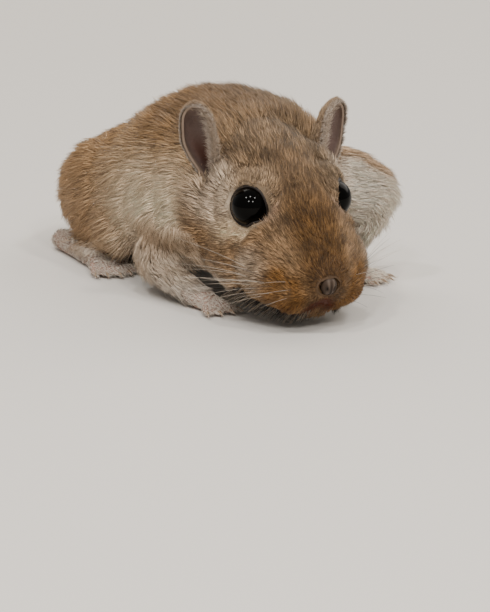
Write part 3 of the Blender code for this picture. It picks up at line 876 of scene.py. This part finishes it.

# %% [markdown]
# ## The ears
# Each ear is a thin cup, round at its top and narrowing to its root, bare and dusky inside, with painted shade
# deep in the cup, short hair outside and a fringe of pale fuzz on its rim. A sphere whose poles face front and
# back is cut in half, so that its rings follow the rim. It is narrowed, given a thin wall with a rounded edge,
# and turned nearly like the imported ear.

# %% Ear cups
# The wall's thickness in millimetres
EAR_WALL = 0.42
# The inside's tone and, deep in the cup, a darker tone of painted shade
EAR_INSIDE, EAR_HOLLOW_SHADE = (0.145, 0.106, 0.092), (0.085, 0.030, 0.017)
EAR_EDGE, EAR_OUTSIDE = (0.25, 0.19, 0.145), (0.32, 0.24, 0.175)
# Painted light: the far ear's inside is painted paler, for the light that falls through it
EAR_PAINTED_LIGHT = {"right": 1.0, "left": 1.7}


def ear_outline(spots, scaled, hand):
    """Give points of a half sphere the ear's outline, a little narrower at its rim."""
    scaled[:, 0] *= ear_width(spots[:, 2]) * (1 - 0.06 * soft_step(spots[:, 1], 0.35, -0.12))
    scaled[:, 0] += ear_shift(spots[:, 2], hand)
    return scaled


def cut_front():
    """Cut the front half off a sphere in edit mode."""
    bpy.ops.mesh.bisect(plane_co=(0, -0.12, 0), plane_no=(0, 1, 0), clear_inner=True)


pinna = Paint("ear_skin", Roughness=0.55, Specular_IOR_Level=0.35)
vein = pinna.noise(900.0, 4.0)
pinna.feed("Base Color", pinna.blend(vein * 0.5, pinna.attribute("coat"), (0.10, 0.045, 0.035, 1.0)))
pinna.feed("Normal", pinna.bump(pinna.noise(2400.0, 3.0), 0.00008))
for word, hand in SIDES.items():
    bpy.ops.mesh.primitive_uv_sphere_add(segments=72, ring_count=40, radius=1.0)
    cup = bpy.context.object
    edit(cup, face_poles, cut_front)
    spots = np.array([vert.co for vert in cup.data.vertices])
    scaled = ear_outline(spots, spots * EAR_RADII, hand)
    scaled[:, 1] += 0.12 * np.sin(3 * spots[:, 2]) * soft_step(spots[:, 1], 0.35, -0.12)
    set_points(cup, scaled * MM)
    apply_modifier(cup, "SOLIDIFY", thickness=EAR_WALL * MM, offset=-1.0, use_even_offset=True)
    apply_modifier(cup, "BEVEL", width=0.15 * MM, segments=2, limit_method="ANGLE")
    local = np.array([vert.co for vert in cup.data.vertices]) / MM
    # Painted shade: the inside darkens deeper in the cup and towards its root
    hollow_shade = soft_step(local[:, 1], 0.4, 2.6) * soft_step(local[:, 2], 3.0, -3.0)
    tone = mix(EAR_INSIDE, EAR_HOLLOW_SHADE, hollow_shade) * EAR_PAINTED_LIGHT[word]
    tone = mix(tone, EAR_EDGE, soft_step(local[:, 1], 0.35, 0.0))
    _, _, from_middle = on_ear(local, hand)
    colour_points(cup.data, mix(tone, EAR_OUTSIDE, soft_step(from_middle, 0.90, 0.97)))
    place_mesh(cup, ear_matrix(word, hand))
    cup.matrix_world = Matrix.Identity(4)
    finish_piece(cup, "pinna_" + word, pinna, ["ear_" + word])
    print("ear", word, len(cup.data.polygons), "faces")

# %% [markdown]
# ## The claws
# Each toe ends in a fine, curved, horn-coloured claw. One claw is a cone that is bent and thinned, and a copy
# of it goes to the tip of every toe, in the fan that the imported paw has.

# %% Claws on every toe
# Toes: how many, their length, radius, fan and gap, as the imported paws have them
FORE_TOES = (4, 3.6, 0.95, math.radians(17), 1.1)
HIND_TOES = (5, 7.0, 1.05, math.radians(8), 1.2)
CLAW_RINGS, CLAW_SIDES, CLAW_LENGTH, CLAW_RADIUS = 7, 8, 1.9, 0.34
# Each paw's root to the left and behind the nose, its heading and its toes
PAWS = {
    "forepaw_right": (-8.6, 24.6, math.radians(4), FORE_TOES),
    "forepaw_left": (26.1, 30.3, math.radians(34), FORE_TOES),
    "hind_foot_right": (-10.3, 61.6, math.radians(-6), HIND_TOES),
    "hind_foot_left": (18.9, 61.6, math.radians(6), HIND_TOES),
}
horn = Paint("claw_horn", Roughness=0.35, Specular_IOR_Level=0.5)
streak = horn.noise(1800.0, 2.0)
horn.feed("Base Color", horn.blend(streak, (0.20, 0.13, 0.08, 1.0), (0.38, 0.28, 0.19, 1.0)))


def claw_points(tip, forward):
    """The rings of one claw: it rises a little from the toe, then curves down to its point."""
    rows = []
    across = np.array((-forward[1], forward[0], 0.0))
    for share in np.linspace(0, 1, CLAW_RINGS):
        rise = 0.30 * math.sin(2.6 * share) - 0.5 * share**2
        centre = tip + forward * (CLAW_LENGTH * share - 0.45) + np.array((0, 0, rise))
        radius = CLAW_RADIUS * (1 - share) ** 0.7 + 0.03
        for angle in np.linspace(0, 2 * math.pi, CLAW_SIDES, endpoint=False):
            wide = across * radius * 0.8 * math.cos(angle)
            rows.append(centre + wide + np.array((0, 0, 1)) * radius * math.sin(angle))
    return rows


claw_spots, claw_faces = [], []
for left, behind_nose, heading, (count, length, radius, fan, gap) in PAWS.values():
    for i in range(count):
        place = i - (count - 1) / 2
        angle = heading + place * fan
        forward = np.array((math.sin(angle), -math.cos(angle), 0.0))
        across = np.array((math.cos(heading), math.sin(heading), 0.0))
        reach = length * (1 - 0.12 * abs(place))
        tip = np.array((left, behind_nose, 0.8 * radius)) + across * place * gap + forward * (reach + 0.2)
        first = len(claw_spots)
        claw_spots.extend(claw_points(tip, forward))
        for ring in range(CLAW_RINGS - 1):
            low = first + ring * CLAW_SIDES
            high = low + CLAW_SIDES
            for j in range(CLAW_SIDES):
                k = (j + 1) % CLAW_SIDES
                claw_faces.append((low + j, low + k, high + k, high + j))
        claw_faces.append(tuple(first + j for j in range(CLAW_SIDES)))
        claw_faces.append(tuple(high + j for j in range(CLAW_SIDES)))
claws = mesh_piece("claws", np.array(claw_spots) * MM + BODY_ORIGIN, claw_faces)
edit(claws, lambda: bpy.ops.mesh.normals_make_consistent(inside=False))
finish_piece(claws, "claws", horn)
print("claws", len(claws.data.polygons), "faces")

# %% [markdown]
# ## Roots of the coat
# Every tuft grows from a point on the skin. The points are drawn at random, more of them where the coat is
# fine, from a seeded generator so that each run gives the same coat. None grows inside the eye openings, on
# the nose pad, in the crease of the mouth or in the cups of the ears.

TUFT_SHARE = 1.0
skin.data.calc_loop_triangles()
corner = read(skin.data.loop_triangles, "vertices", int, 3)
loops = read(skin.data.loop_triangles, "loops", int, 3)
uv = read(skin.data.uv_layers["OFBake"].data, "uv", float, 2)
edge_a = points[corner[:, 1]] - points[corner[:, 0]]
edge_b = points[corner[:, 2]] - points[corner[:, 0]]
area = 0.5 * np.linalg.norm(np.cross(edge_a, edge_b), axis=1) / MM**2
density = table[corner, DENSITY].mean(axis=1)
under = soft_step(-normals[corner, 2].mean(axis=1), 0.5, 0.9) * soft_step(body[corner, 2].mean(axis=1), 7, 4)
density *= 1.0 - 0.6 * under
weight = area * density * TUFT_SHARE
total = int(weight.sum())
chance = np.cumsum(weight) / weight.sum()
chosen = np.searchsorted(chance, rng.random(total))
first, second = rng.random(total), rng.random(total)
flip = first + second > 1
first[flip], second[flip] = 1 - first[flip], 1 - second[flip]
share = np.stack((1 - first - second, first, second), axis=1)


def at_roots(values):
    """Values at the skin's points, blended at each root."""
    picked = values[corner[chosen]]
    return np.einsum("ij,ij...->i...", share, picked)


coat = {
    "root": at_roots(points),
    "normal": unit(at_roots(normals)),
    "flow": at_roots(flow),
    "table": at_roots(table),
    "colour": at_roots(colour),
    "ticking": at_roots(ticking),
    "uv": np.einsum("ij,ijk->ik", share, uv[loops[chosen]]),
    "node": nodes[corner[chosen, 0]],
}
print("drawn", total, "roots")

# %% Clear the eyes, nose, mouth and ears
root_head = in_head(coat["root"])
keep = np.ones(total, bool)
for word, hand in SIDES.items():
    reach, angle, turn, _ = round_eye(root_head, word, hand)
    keep &= ~((reach < EYE_RADIUS + 0.7) & (angle < lid_angle(word, turn) + 0.02))
    keep &= reach > EYE_RADIUS + 0.2
under_the_feet = (coat["root"][:, 2] < 0.7 * MM) & (coat["normal"][:, 2] < -0.3)
keep &= ~under_the_feet
nose_gap = (root_head - np.array(NOSE_MIDDLE)) / (np.array(NOSE_SIZE) - 0.3)
keep &= np.linalg.norm(nose_gap, axis=1) > 1.0
lip_gap, _ = along_path(root_head, MOUTH)
keep &= lip_gap > 0.35
coat["table"][:, LENGTH] *= 0.45 + 0.55 * soft_step(lip_gap, 0.4, 2.4)
for word, hand in SIDES.items():
    local = moved(coat["root"], np.array(ear_matrix(word, hand).inverted())) / MM
    across, high, from_middle = on_ear(local, hand)
    keep &= ~((from_middle < 1.12) & (np.hypot(across, high) < 1.0))
    close = soft_step(from_middle, 1.7, 1.05) * (local[:, 1] < 1.5)
    coat["table"][:, LENGTH] *= 1 - 0.5 * close
coat = {name: values[keep] for name, values in coat.items()}
print("kept", int(keep.sum()), "roots")

# %% [markdown]
# ## One tuft
# A tuft is a closed, slender spindle: a root, a ring of three points a little before its middle, and a tip,
# six triangles in all. It leaves the skin at an angle and bends over to lie along the body. Neighbouring
# tufts lean together into locks, as real hair does, and each differs a little in length, lift and heading.

# %% Shape all the tufts
# One tuft in so many leads a lock, and the strongest pull towards it
LOCK_SIZE = 12
LOCK_PULL = 0.34
# Where a tuft is widest, as a share of its length, and how deep its root stands in the skin in millimetres
TUFT_MIDDLE = 0.42
TUFT_ROOT = 0.12


def lean_together(tips, middles, roots):
    """Pull the ends of the tufts towards a few of their neighbours, so that they gather in locks."""
    count = len(roots)
    leaders = rng.choice(count, max(1, count // LOCK_SIZE), replace=False)
    tree = KDTree(len(leaders))
    for i, leader in enumerate(leaders):
        tree.insert(roots[leader], i)
    tree.balance()
    leader_of = leaders[np.array([tree.find(root)[1] for root in roots])]
    amount = (LOCK_PULL * rng.uniform(0.3, 1.0, count))[:, None]
    tips += (tips[leader_of] - tips) * amount
    middles += (middles[leader_of] - middles) * amount * 0.3


def tuft_shape(coat):
    """The root, middle and tip of each tuft, the directions across and away from the skin, and the width."""
    count = len(coat["root"])
    normal = coat["normal"]
    place = in_body(coat["root"])
    length, lift, width = coat["table"][:, (LENGTH, LIFT, WIDTH)].T
    flow = unit(coat["flow"] - normal * np.sum(coat["flow"] * normal, axis=1, keepdims=True))
    across = np.cross(normal, flow)
    swing = 0.17 * wave_field(place, 7.0, 21) + 0.12 * wave_field(place, 2.2, 22) + rng.normal(0, 0.12, count)
    flow = unit(flow + across * swing[:, None])
    across = np.cross(normal, flow)
    lift = np.radians(lift) * (1 + 0.18 * wave_field(place, 4.0, 23)) * rng.uniform(0.6, 1.4, count)
    length = length * rng.uniform(0.7, 1.15, count) * MM
    first_angle, last_angle = (1.45 * lift)[:, None], (0.85 * lift)[:, None]
    rise = flow * np.cos(first_angle) + normal * np.sin(first_angle)
    middle = coat["root"] + (TUFT_MIDDLE * length)[:, None] * rise
    tip = coat["root"] + length[:, None] * (flow * np.cos(last_angle) + normal * np.sin(last_angle))
    root = coat["root"] - normal * TUFT_ROOT * MM
    lean_together(tip, middle, coat["root"])
    return root, middle, tip, across, normal, width * rng.uniform(0.7, 1.25, count) * MM


BLACK_TIP = (0.035, 0.024, 0.018)
BRIGHTEST = 0.95


def tuft_colours(coat):
    """The colours of each tuft at its root, middle and tip."""
    count = len(coat["root"])
    on_head = (coat["node"] == "head")[:, None]
    lively, calm = rng.uniform(0.66, 1.34, (count, 1)), rng.uniform(0.84, 1.16, (count, 1))
    base = coat["colour"] * np.where(on_head, lively, calm)
    draw = rng.random(count)
    black = draw < 0.55 * coat["ticking"]
    pale = draw > 0.84
    light = soft_step(base.mean(axis=1), 0.45, 0.7)[:, None]
    # The root is darker: the grey of real hair roots, and painted shade deep in the coat
    root = base * (np.where(on_head, 0.45, 0.6) * (1 - light) + 0.85 * light)
    middle = base * np.where(black, 0.72, 1.0)[:, None]
    tip = base * np.where(pale, 1.35, 1.06)[:, None]
    tip[black] = np.array(BLACK_TIP) + 0.12 * base[black]
    return [np.clip(tone, 0, BRIGHTEST) for tone in (root, middle, tip)]


print("a lock holds about", LOCK_SIZE, "tufts")


# %% Mesh of many tufts
# A tuft's points are its root, three round its middle, and its tip
TUFT_FACES = np.array(((0, 2, 1), (0, 3, 2), (0, 1, 3), (4, 1, 2), (4, 2, 3), (4, 3, 1)))
# The size of a tuft's patch on the bake map, and each point's place in it
PATCH = 0.003
PATCH_PLACES = np.array(((0.5, 0.0), (0.0, 0.45), (1.0, 0.45), (0.5, 0.6), (0.5, 1.0))) * PATCH
# The least height of each point of a tuft above the floor, in millimetres
CLEAR_OF_FLOOR = np.array((0.03, 0.06, 0.04, 0.05, 0.03))


def tuft_mesh(name, shape, colours, root_uv):
    """One mesh of many tufts, with its colours and its bake map."""
    root, middle, tip, across, normal, width = shape
    count = len(root)
    spots = np.empty((count, 5, 3))
    spots[:, 0] = root
    spots[:, 4] = tip
    high = unit(np.cross(unit(tip - root), across))
    high *= np.sign(np.sum(high * normal, axis=1, keepdims=True))
    for i, angle in enumerate((90, 210, 330)):
        turn = math.radians(angle)
        offset = across * math.cos(turn) + high * 0.6 * math.sin(turn)
        spots[:, 1 + i] = middle + offset * (0.5 * width)[:, None]
    spots[:, :, 2] = np.maximum(spots[:, :, 2], CLEAR_OF_FLOOR * MM)
    faces = (np.arange(count)[:, None, None] * 5 + TUFT_FACES[None]).reshape(-1)
    mesh = bpy.data.meshes.new(name)
    mesh.vertices.add(count * 5)
    mesh.vertices.foreach_set("co", spots.ravel())
    mesh.loops.add(len(faces))
    mesh.loops.foreach_set("vertex_index", faces)
    mesh.polygons.add(count * 6)
    mesh.polygons.foreach_set("loop_start", np.arange(0, len(faces), 3))
    mesh.update(calc_edges=True)
    mesh.validate()
    tint = np.empty((count, 5, 3))
    tint[:, 0], tint[:, 4] = colours[0], colours[2]
    tint[:, 1:4] = colours[1][:, None]
    colour_points(mesh, tint.reshape(-1, 3))
    layer = mesh.uv_layers.new(name="OFBake")
    low, high_uv = root_uv.min(axis=0), root_uv.max(axis=0)
    patches = ((root_uv - low) / (high_uv - low) * (1 - PATCH))[:, None] + PATCH_PLACES[None]
    layer.data.foreach_set("uv", patches.reshape(-1, 2)[faces].ravel())
    piece = bpy.data.objects.new(name, mesh)
    bpy.context.scene.collection.objects.link(piece)
    return piece


fur = Paint("coat_hair", Roughness=0.62, Specular_IOR_Level=0.22)
strand = fur.noise(5200.0, 1.0)
fur.feed("Base Color", fur.blend(strand * 0.45, fur.attribute("coat"), (0.30, 0.24, 0.20, 1.0), "MULTIPLY"))
print("tuft of", len(TUFT_FACES), "triangles")

# %% [markdown]
# ## The coat in pieces
# A mesh of more than two hundred thousand triangles is clumsy to store and to move, so the coat is divided
# where the body is, and the head's dense coat is divided in three: the muzzle and two halves behind it.

# %% Grow the coat
# The muzzle's coat ends this far behind the nose, in millimetres
MUZZLE_END = 11.5
root_kind = np.array([name.split("_")[0] for name in coat["node"]])
part = root_kind.astype("<U16")
root_left, root_behind, _ = in_head(coat["root"])[root_kind == "head"].T
halves = np.where(root_left < 0, "head_right", "head_left")
part[root_kind == "head"] = np.where(root_behind < MUZZLE_END, "muzzle", halves)
part[np.isin(root_kind, ("forepaw", "foreleg"))] = "forelegs"
part[root_kind == "hind"] = "hind_feet"
part[root_kind == "thigh"] = "thighs"
for name in sorted(set(part)):
    own = {key: values[part == name] for key, values in coat.items()}
    piece = tuft_mesh("coat_" + name, tuft_shape(own), tuft_colours(own), own["uv"])
    finish_piece(piece, "coat_" + name, fur)
    print("coat_" + name, len(own["root"]), "tufts")

# %% [markdown]
# ## Fuzz on the ears
# Short pale hairs fringe the rim of each ear and line its front edge, and its back is thinly haired. They
# are tufts like the rest, rooted on the cup instead of on the skin.

# %% Ear fuzz
EAR_HAIR_COUNT = 6000
# For each kind of hair: its share of that count, and its length, lift in degrees, width and colour
EAR_HAIRS = {
    "rim": (0.55, 1.0, 30.0, 0.07, (0.50, 0.42, 0.35)),
    "front": (0.20, 2.3, 22.0, 0.08, (0.44, 0.36, 0.29)),
    "edge": (0.24, 1.5, 26.0, 0.09, (0.42, 0.33, 0.25)),
    "back": (0.63, 1.6, 13.0, 0.12, (0.34, 0.24, 0.15)),
}


def scattered(way, count, amount):
    """The same direction for every hair, made a little uneven."""
    return np.tile(way, (count, 1)) + rng.normal(0, amount, (count, 3))


def ear_coat(word, hand, kind):
    """The roots, headings and colours of one kind of hair on one ear, in the shared frame."""
    share, length, lift, width, tone = EAR_HAIRS[kind]
    count = int(EAR_HAIR_COUNT * share * TUFT_SHARE)
    front_turn = np.where(hand < 0, 0.0, math.pi)
    turn = rng.uniform(0, 2 * math.pi, count)
    off_pole = rng.uniform(1.44, 1.68, count)
    if kind == "front":
        turn = front_turn + rng.normal(0, 0.6, count)
        off_pole = 1.60 - np.abs(rng.normal(0, 0.28, count))
    if kind == "edge":
        turn = front_turn + rng.normal(0, 0.55, count)
        off_pole = rng.uniform(1.56, 1.72, count)
    if kind == "back":
        off_pole = np.arccos(rng.uniform(0.0, 1.0, count))
    ring = np.sin(off_pole)
    spots = np.stack((ring * np.cos(turn), np.cos(off_pole), ring * np.sin(turn)), axis=1)
    outward = unit(spots / EAR_RADII)
    inset = rng.uniform(0.9, 1.02, (count, 1)) if kind == "edge" else 1.0
    rooted_at = ear_outline(spots, spots * EAR_RADII * (0.9 if kind == "front" else inset), hand)
    heading = scattered((0.0, 0.0, 1.0), count, 0.15)
    if kind == "rim":
        heading = outward + (0, -0.5, 0.3)
    if kind == "edge":
        outward = scattered((0.0, -1.0, 0.0), count, 0.25)
        heading = scattered((0.0, 0.0, 1.0), count, 0.35)
    if kind == "front":
        outward = scattered((0.0, -1.0, 0.0), count, 0.2)
        heading = scattered((hand * 0.7, 0.05, 0.6), count, 0.36)
    place = np.array(ear_matrix(word, hand))
    return {
        "root": moved(rooted_at * MM, place),
        "normal": unit(outward @ place[:3, :3].T),
        "flow": unit(heading @ place[:3, :3].T),
        "table": np.tile((length, lift, width, 0.0, 0.0), (count, 1)),
        "colour": np.tile(tone, (count, 1)),
        "ticking": np.full(count, 0.35 if kind == "back" else 0.0),
        "uv": np.stack((np.mod(turn, 2 * math.pi) / (2 * math.pi), off_pole / math.pi), axis=1),
        "node": np.full(count, "ear"),
    }


for word, hand in SIDES.items():
    kinds = [ear_coat(word, hand, kind) for kind in EAR_HAIRS]
    own = {key: np.concatenate([one[key] for one in kinds]) for key in kinds[0]}
    piece = tuft_mesh("coat_ear_" + word, tuft_shape(own), tuft_colours(own), own["uv"])
    finish_piece(piece, "coat_ear_" + word, fur)
print("ear fuzz made")

# %% [markdown]
# ## The whiskers
# Long stiff whiskers fan back and down from the pads beside the nose, the hind ones longest, and a fringe of
# short bristles hangs from the lips. Each is a thin tapered tube along a curve, closed at both ends.

# %% Shape of a whisker
def whisker(root, heading, droop, length, thick, steps, sides):
    """The points and faces of one whisker."""
    heading = np.array(heading) / np.linalg.norm(heading)
    side_way = np.cross(heading, (0, 0, 1.0))
    side_way /= np.linalg.norm(side_way)
    up_way = np.cross(side_way, heading)
    spots, faces = [], []
    for i in range(steps):
        share = i / steps
        centre = root + heading * length * share + np.array((0, 0, -1.0)) * droop * length * share**2
        radius = thick * (1 - share) ** 0.8 + 0.008
        for j in range(sides):
            angle = 2 * math.pi * j / sides
            spots.append(centre + (side_way * math.cos(angle) + up_way * math.sin(angle)) * radius)
    spots.append(root + heading * length + np.array((0, 0, -1.0)) * droop * length)
    for i in range(steps - 1):
        for j in range(sides):
            k = (j + 1) % sides
            faces.append((i * sides + j, i * sides + k, (i + 1) * sides + k, (i + 1) * sides + j))
    last = (steps - 1) * sides
    faces.extend((last + j, last + (j + 1) % sides, steps * sides) for j in range(sides))
    faces.append(tuple(range(sides)))
    return spots, faces


def rooted(place):
    """The point of the skin nearest to a place in the head's frame."""
    _, found, _, _ = skin.closest_point_on_mesh(Vector(from_head(np.array(place))))
    return in_head(np.array([found]))[0]


print("hairs are rooted on", skin.name)

# %% Grow the whiskers and bristles
WHISKER_ROWS, WHISKER_COLUMNS, BRISTLES = 4, 6, 460
# Thickness, share of pale ones, rings and sides of each kind
WHISKER, BRISTLE = (0.027, 0.5, 12, 5), (0.042, 0.25, 5, 3)
HAIR_TONES = {WHISKER: (0.40, 0.34, 0.28), BRISTLE: (0.32, 0.25, 0.18)}
HAIR_DARK = (0.02, 0.015, 0.012)
whisker_spots, whisker_faces, whisker_tones = [], [], []


def add_hair(place, heading, droop, length, kind):
    """Add one whisker or bristle to the lists, rooted on the skin."""
    thick, pale_share, steps, sides = kind
    spots, faces = whisker(rooted(place), heading, droop, length, thick, steps, sides)
    whisker_faces.extend(tuple(i + len(whisker_spots) for i in face) for face in faces)
    whisker_spots.extend(spots)
    tone = HAIR_TONES[kind] if rng.random() < pale_share else HAIR_DARK
    whisker_tones.extend([tone] * len(spots))


for hand in SIDES.values():
    for row in range(WHISKER_ROWS):
        for column in range(WHISKER_COLUMNS):
            behind_pad = 3.6 + 1.2 * column + rng.uniform(-0.3, 0.3)
            up_pad = -0.9 - 1.05 * row - 0.2 * column + rng.uniform(-0.2, 0.2)
            out_pad = float(np.interp(behind_pad, (3, 6, 10), (4.6, 8.0, 9.8)))
            outwards = hand * (0.85 + 0.1 * rng.normal())
            heading = (outwards, 0.1 + 0.16 * column, 0.12 - 0.15 * row + 0.06 * rng.normal())
            length = (6.0 + 2.3 * column) * rng.uniform(0.8, 1.1)
            add_hair((hand * out_pad, behind_pad, up_pad), heading, rng.uniform(0.08, 0.22), length, WHISKER)
    for _ in range(BRISTLES):
        share = rng.uniform(0.03 if hand < 0 else 0.3, 1)
        lip_height = -6.0 - 1.2 * share**0.6 + rng.uniform(-0.6, 0.6)
        along = np.array((hand * (0.6 + 8.8 * share**0.8), 2.4 + 10.7 * share, lip_height))
        heading = (hand * (0.15 + 0.55 * share) + rng.normal(0, 0.12), 0.05 + 0.4 * share, -0.75)
        length = rng.uniform(2.1, 3.3) * (0.78 + 0.85 * share)
        add_hair(along, heading, 0.05, length, BRISTLE)
placed_hairs = from_head(whisker_spots)
placed_hairs[:, 2] = np.maximum(placed_hairs[:, 2], 0.08 * MM)
whiskers = mesh_piece("whiskers", placed_hairs, whisker_faces)
colour_points(whiskers.data, whisker_tones)
edit(whiskers, lambda: bpy.ops.mesh.normals_make_consistent(inside=False))
bristle = Paint("whisker_bristle", Roughness=0.4, Specular_IOR_Level=0.4)
bristle.feed("Base Color", bristle.attribute("coat"))
finish_piece(whiskers, "whiskers", bristle)
print("whiskers", len(whiskers.data.polygons), "faces")

# %% [markdown]
# ## Floor, light and camera
# A plain pale floor and broad soft lamps show the coat from every side. The camera looks down a little from
# the gerbil's front right, with a long lens, as the view it is matched to does.

# %% Stage
FLOOR_TONE = (0.62, 0.59, 0.55, 1.0)
bpy.ops.mesh.primitive_plane_add(size=8.0, location=(0, 0, 0))
floor = bpy.context.object
floor.name = "floor"
plain = Paint("floor_plain", Roughness=0.9, Specular_IOR_Level=0.1)
plain.feed("Base Color", plain.blend(plain.noise(3.0) * 0.1, FLOOR_TONE, (0.5, 0.48, 0.45, 1.0)))
floor.data.materials.append(plain.material)

world = bpy.data.worlds.new("studio")
bpy.context.scene.world = world
world.use_nodes = True
world.node_tree.nodes["Background"].inputs["Color"].default_value = (0.96, 0.945, 0.92, 1.0)
world.node_tree.nodes["Background"].inputs["Strength"].default_value = 0.5


def area_lamp(name, place, target, size, power, colour):
    """A square soft lamp at a place, pointing at a target, in metres and watts."""
    light = bpy.data.lights.new(name, "AREA")
    light.size = size
    light.energy = power
    light.color = colour
    lamp = bpy.data.objects.new(name, light)
    lamp.location = place
    lamp.rotation_euler = (Vector(place) - Vector(target)).to_track_quat("Z", "Y").to_euler()
    bpy.context.scene.collection.objects.link(lamp)


WARM = (1.0, 0.93, 0.84)
area_lamp("fill", (0.70, 0.12, 0.55), (0, -0.02, 0.02), 0.7, 4.5, WARM)
area_lamp("back_light", (0.1, 0.75, 0.65), (0, 0, 0.02), 0.7, 6.0, WARM)
print("stage", floor.name, "with a sky and two lamps")

# %% Camera
AZIMUTH, ELEVATION = math.radians(-30), math.radians(14)
# The lens and the nose's place in pixels of the picture, and the distance in metres
FOCAL_PIXELS = 3020.0
IMAGE_SIZE = (490, 612)
NOSE_PIXEL = (331, 288)
DISTANCE = 0.5
SENSOR = 36.0
level = math.cos(ELEVATION)
away_vec = Vector((math.sin(AZIMUTH) * level, -math.cos(AZIMUTH) * level, math.sin(ELEVATION)))
right_vec = Vector((math.cos(AZIMUTH), math.sin(AZIMUTH), 0.0))
up_vec = away_vec.cross(right_vec)
shift_right = (NOSE_PIXEL[0] - IMAGE_SIZE[0] / 2) / FOCAL_PIXELS * DISTANCE
shift_up = (IMAGE_SIZE[1] / 2 - NOSE_PIXEL[1]) / FOCAL_PIXELS * DISTANCE
camera_data = bpy.data.cameras.new("camera")
camera_data.sensor_width = SENSOR
camera_data.lens = FOCAL_PIXELS / IMAGE_SIZE[1] * SENSOR
camera_data.clip_start = 0.01
camera = bpy.data.objects.new("camera", camera_data)
bpy.context.scene.collection.objects.link(camera)
placed = Matrix((right_vec, up_vec, away_vec)).transposed().to_4x4()
placed.translation = nose_tip - shift_right * right_vec - shift_up * up_vec + DISTANCE * away_vec
camera.matrix_world = placed
bpy.context.scene.camera = camera
print("camera", [round(v, 3) for v in camera.location])

# %% [markdown]
# The points of light in the eye are reflections, so each small lamp stands where a ray from the camera goes
# after it has met the globe at the wanted spot.

# %% Points of light in the eye
# Where each shows on the globe, to the right of its middle and above it, as shares of its radius
SPARKS = ((0.0, 0.60), (0.32, 0.52), (-0.10, 0.28), (0.16, 0.26), (-0.30, 0.54))
SPARK_DISTANCE, SPARK_SIZE, SPARK_POWER = 0.7, 0.062, 1.4
eye = eye_centres["right"]
to_camera = (placed.translation - eye).normalized()
for side_way, high_way in SPARKS:
    facing_out = (to_camera + right_vec * side_way * 0.8 + up_vec * high_way * 0.9).normalized()
    beam = (2 * facing_out.dot(to_camera) * facing_out - to_camera).normalized()
    area_lamp("lamp_cluster", eye + beam * SPARK_DISTANCE, eye, SPARK_SIZE, SPARK_POWER, (1.0, 0.97, 0.93))
print("lamps before the eye", len(SPARKS))
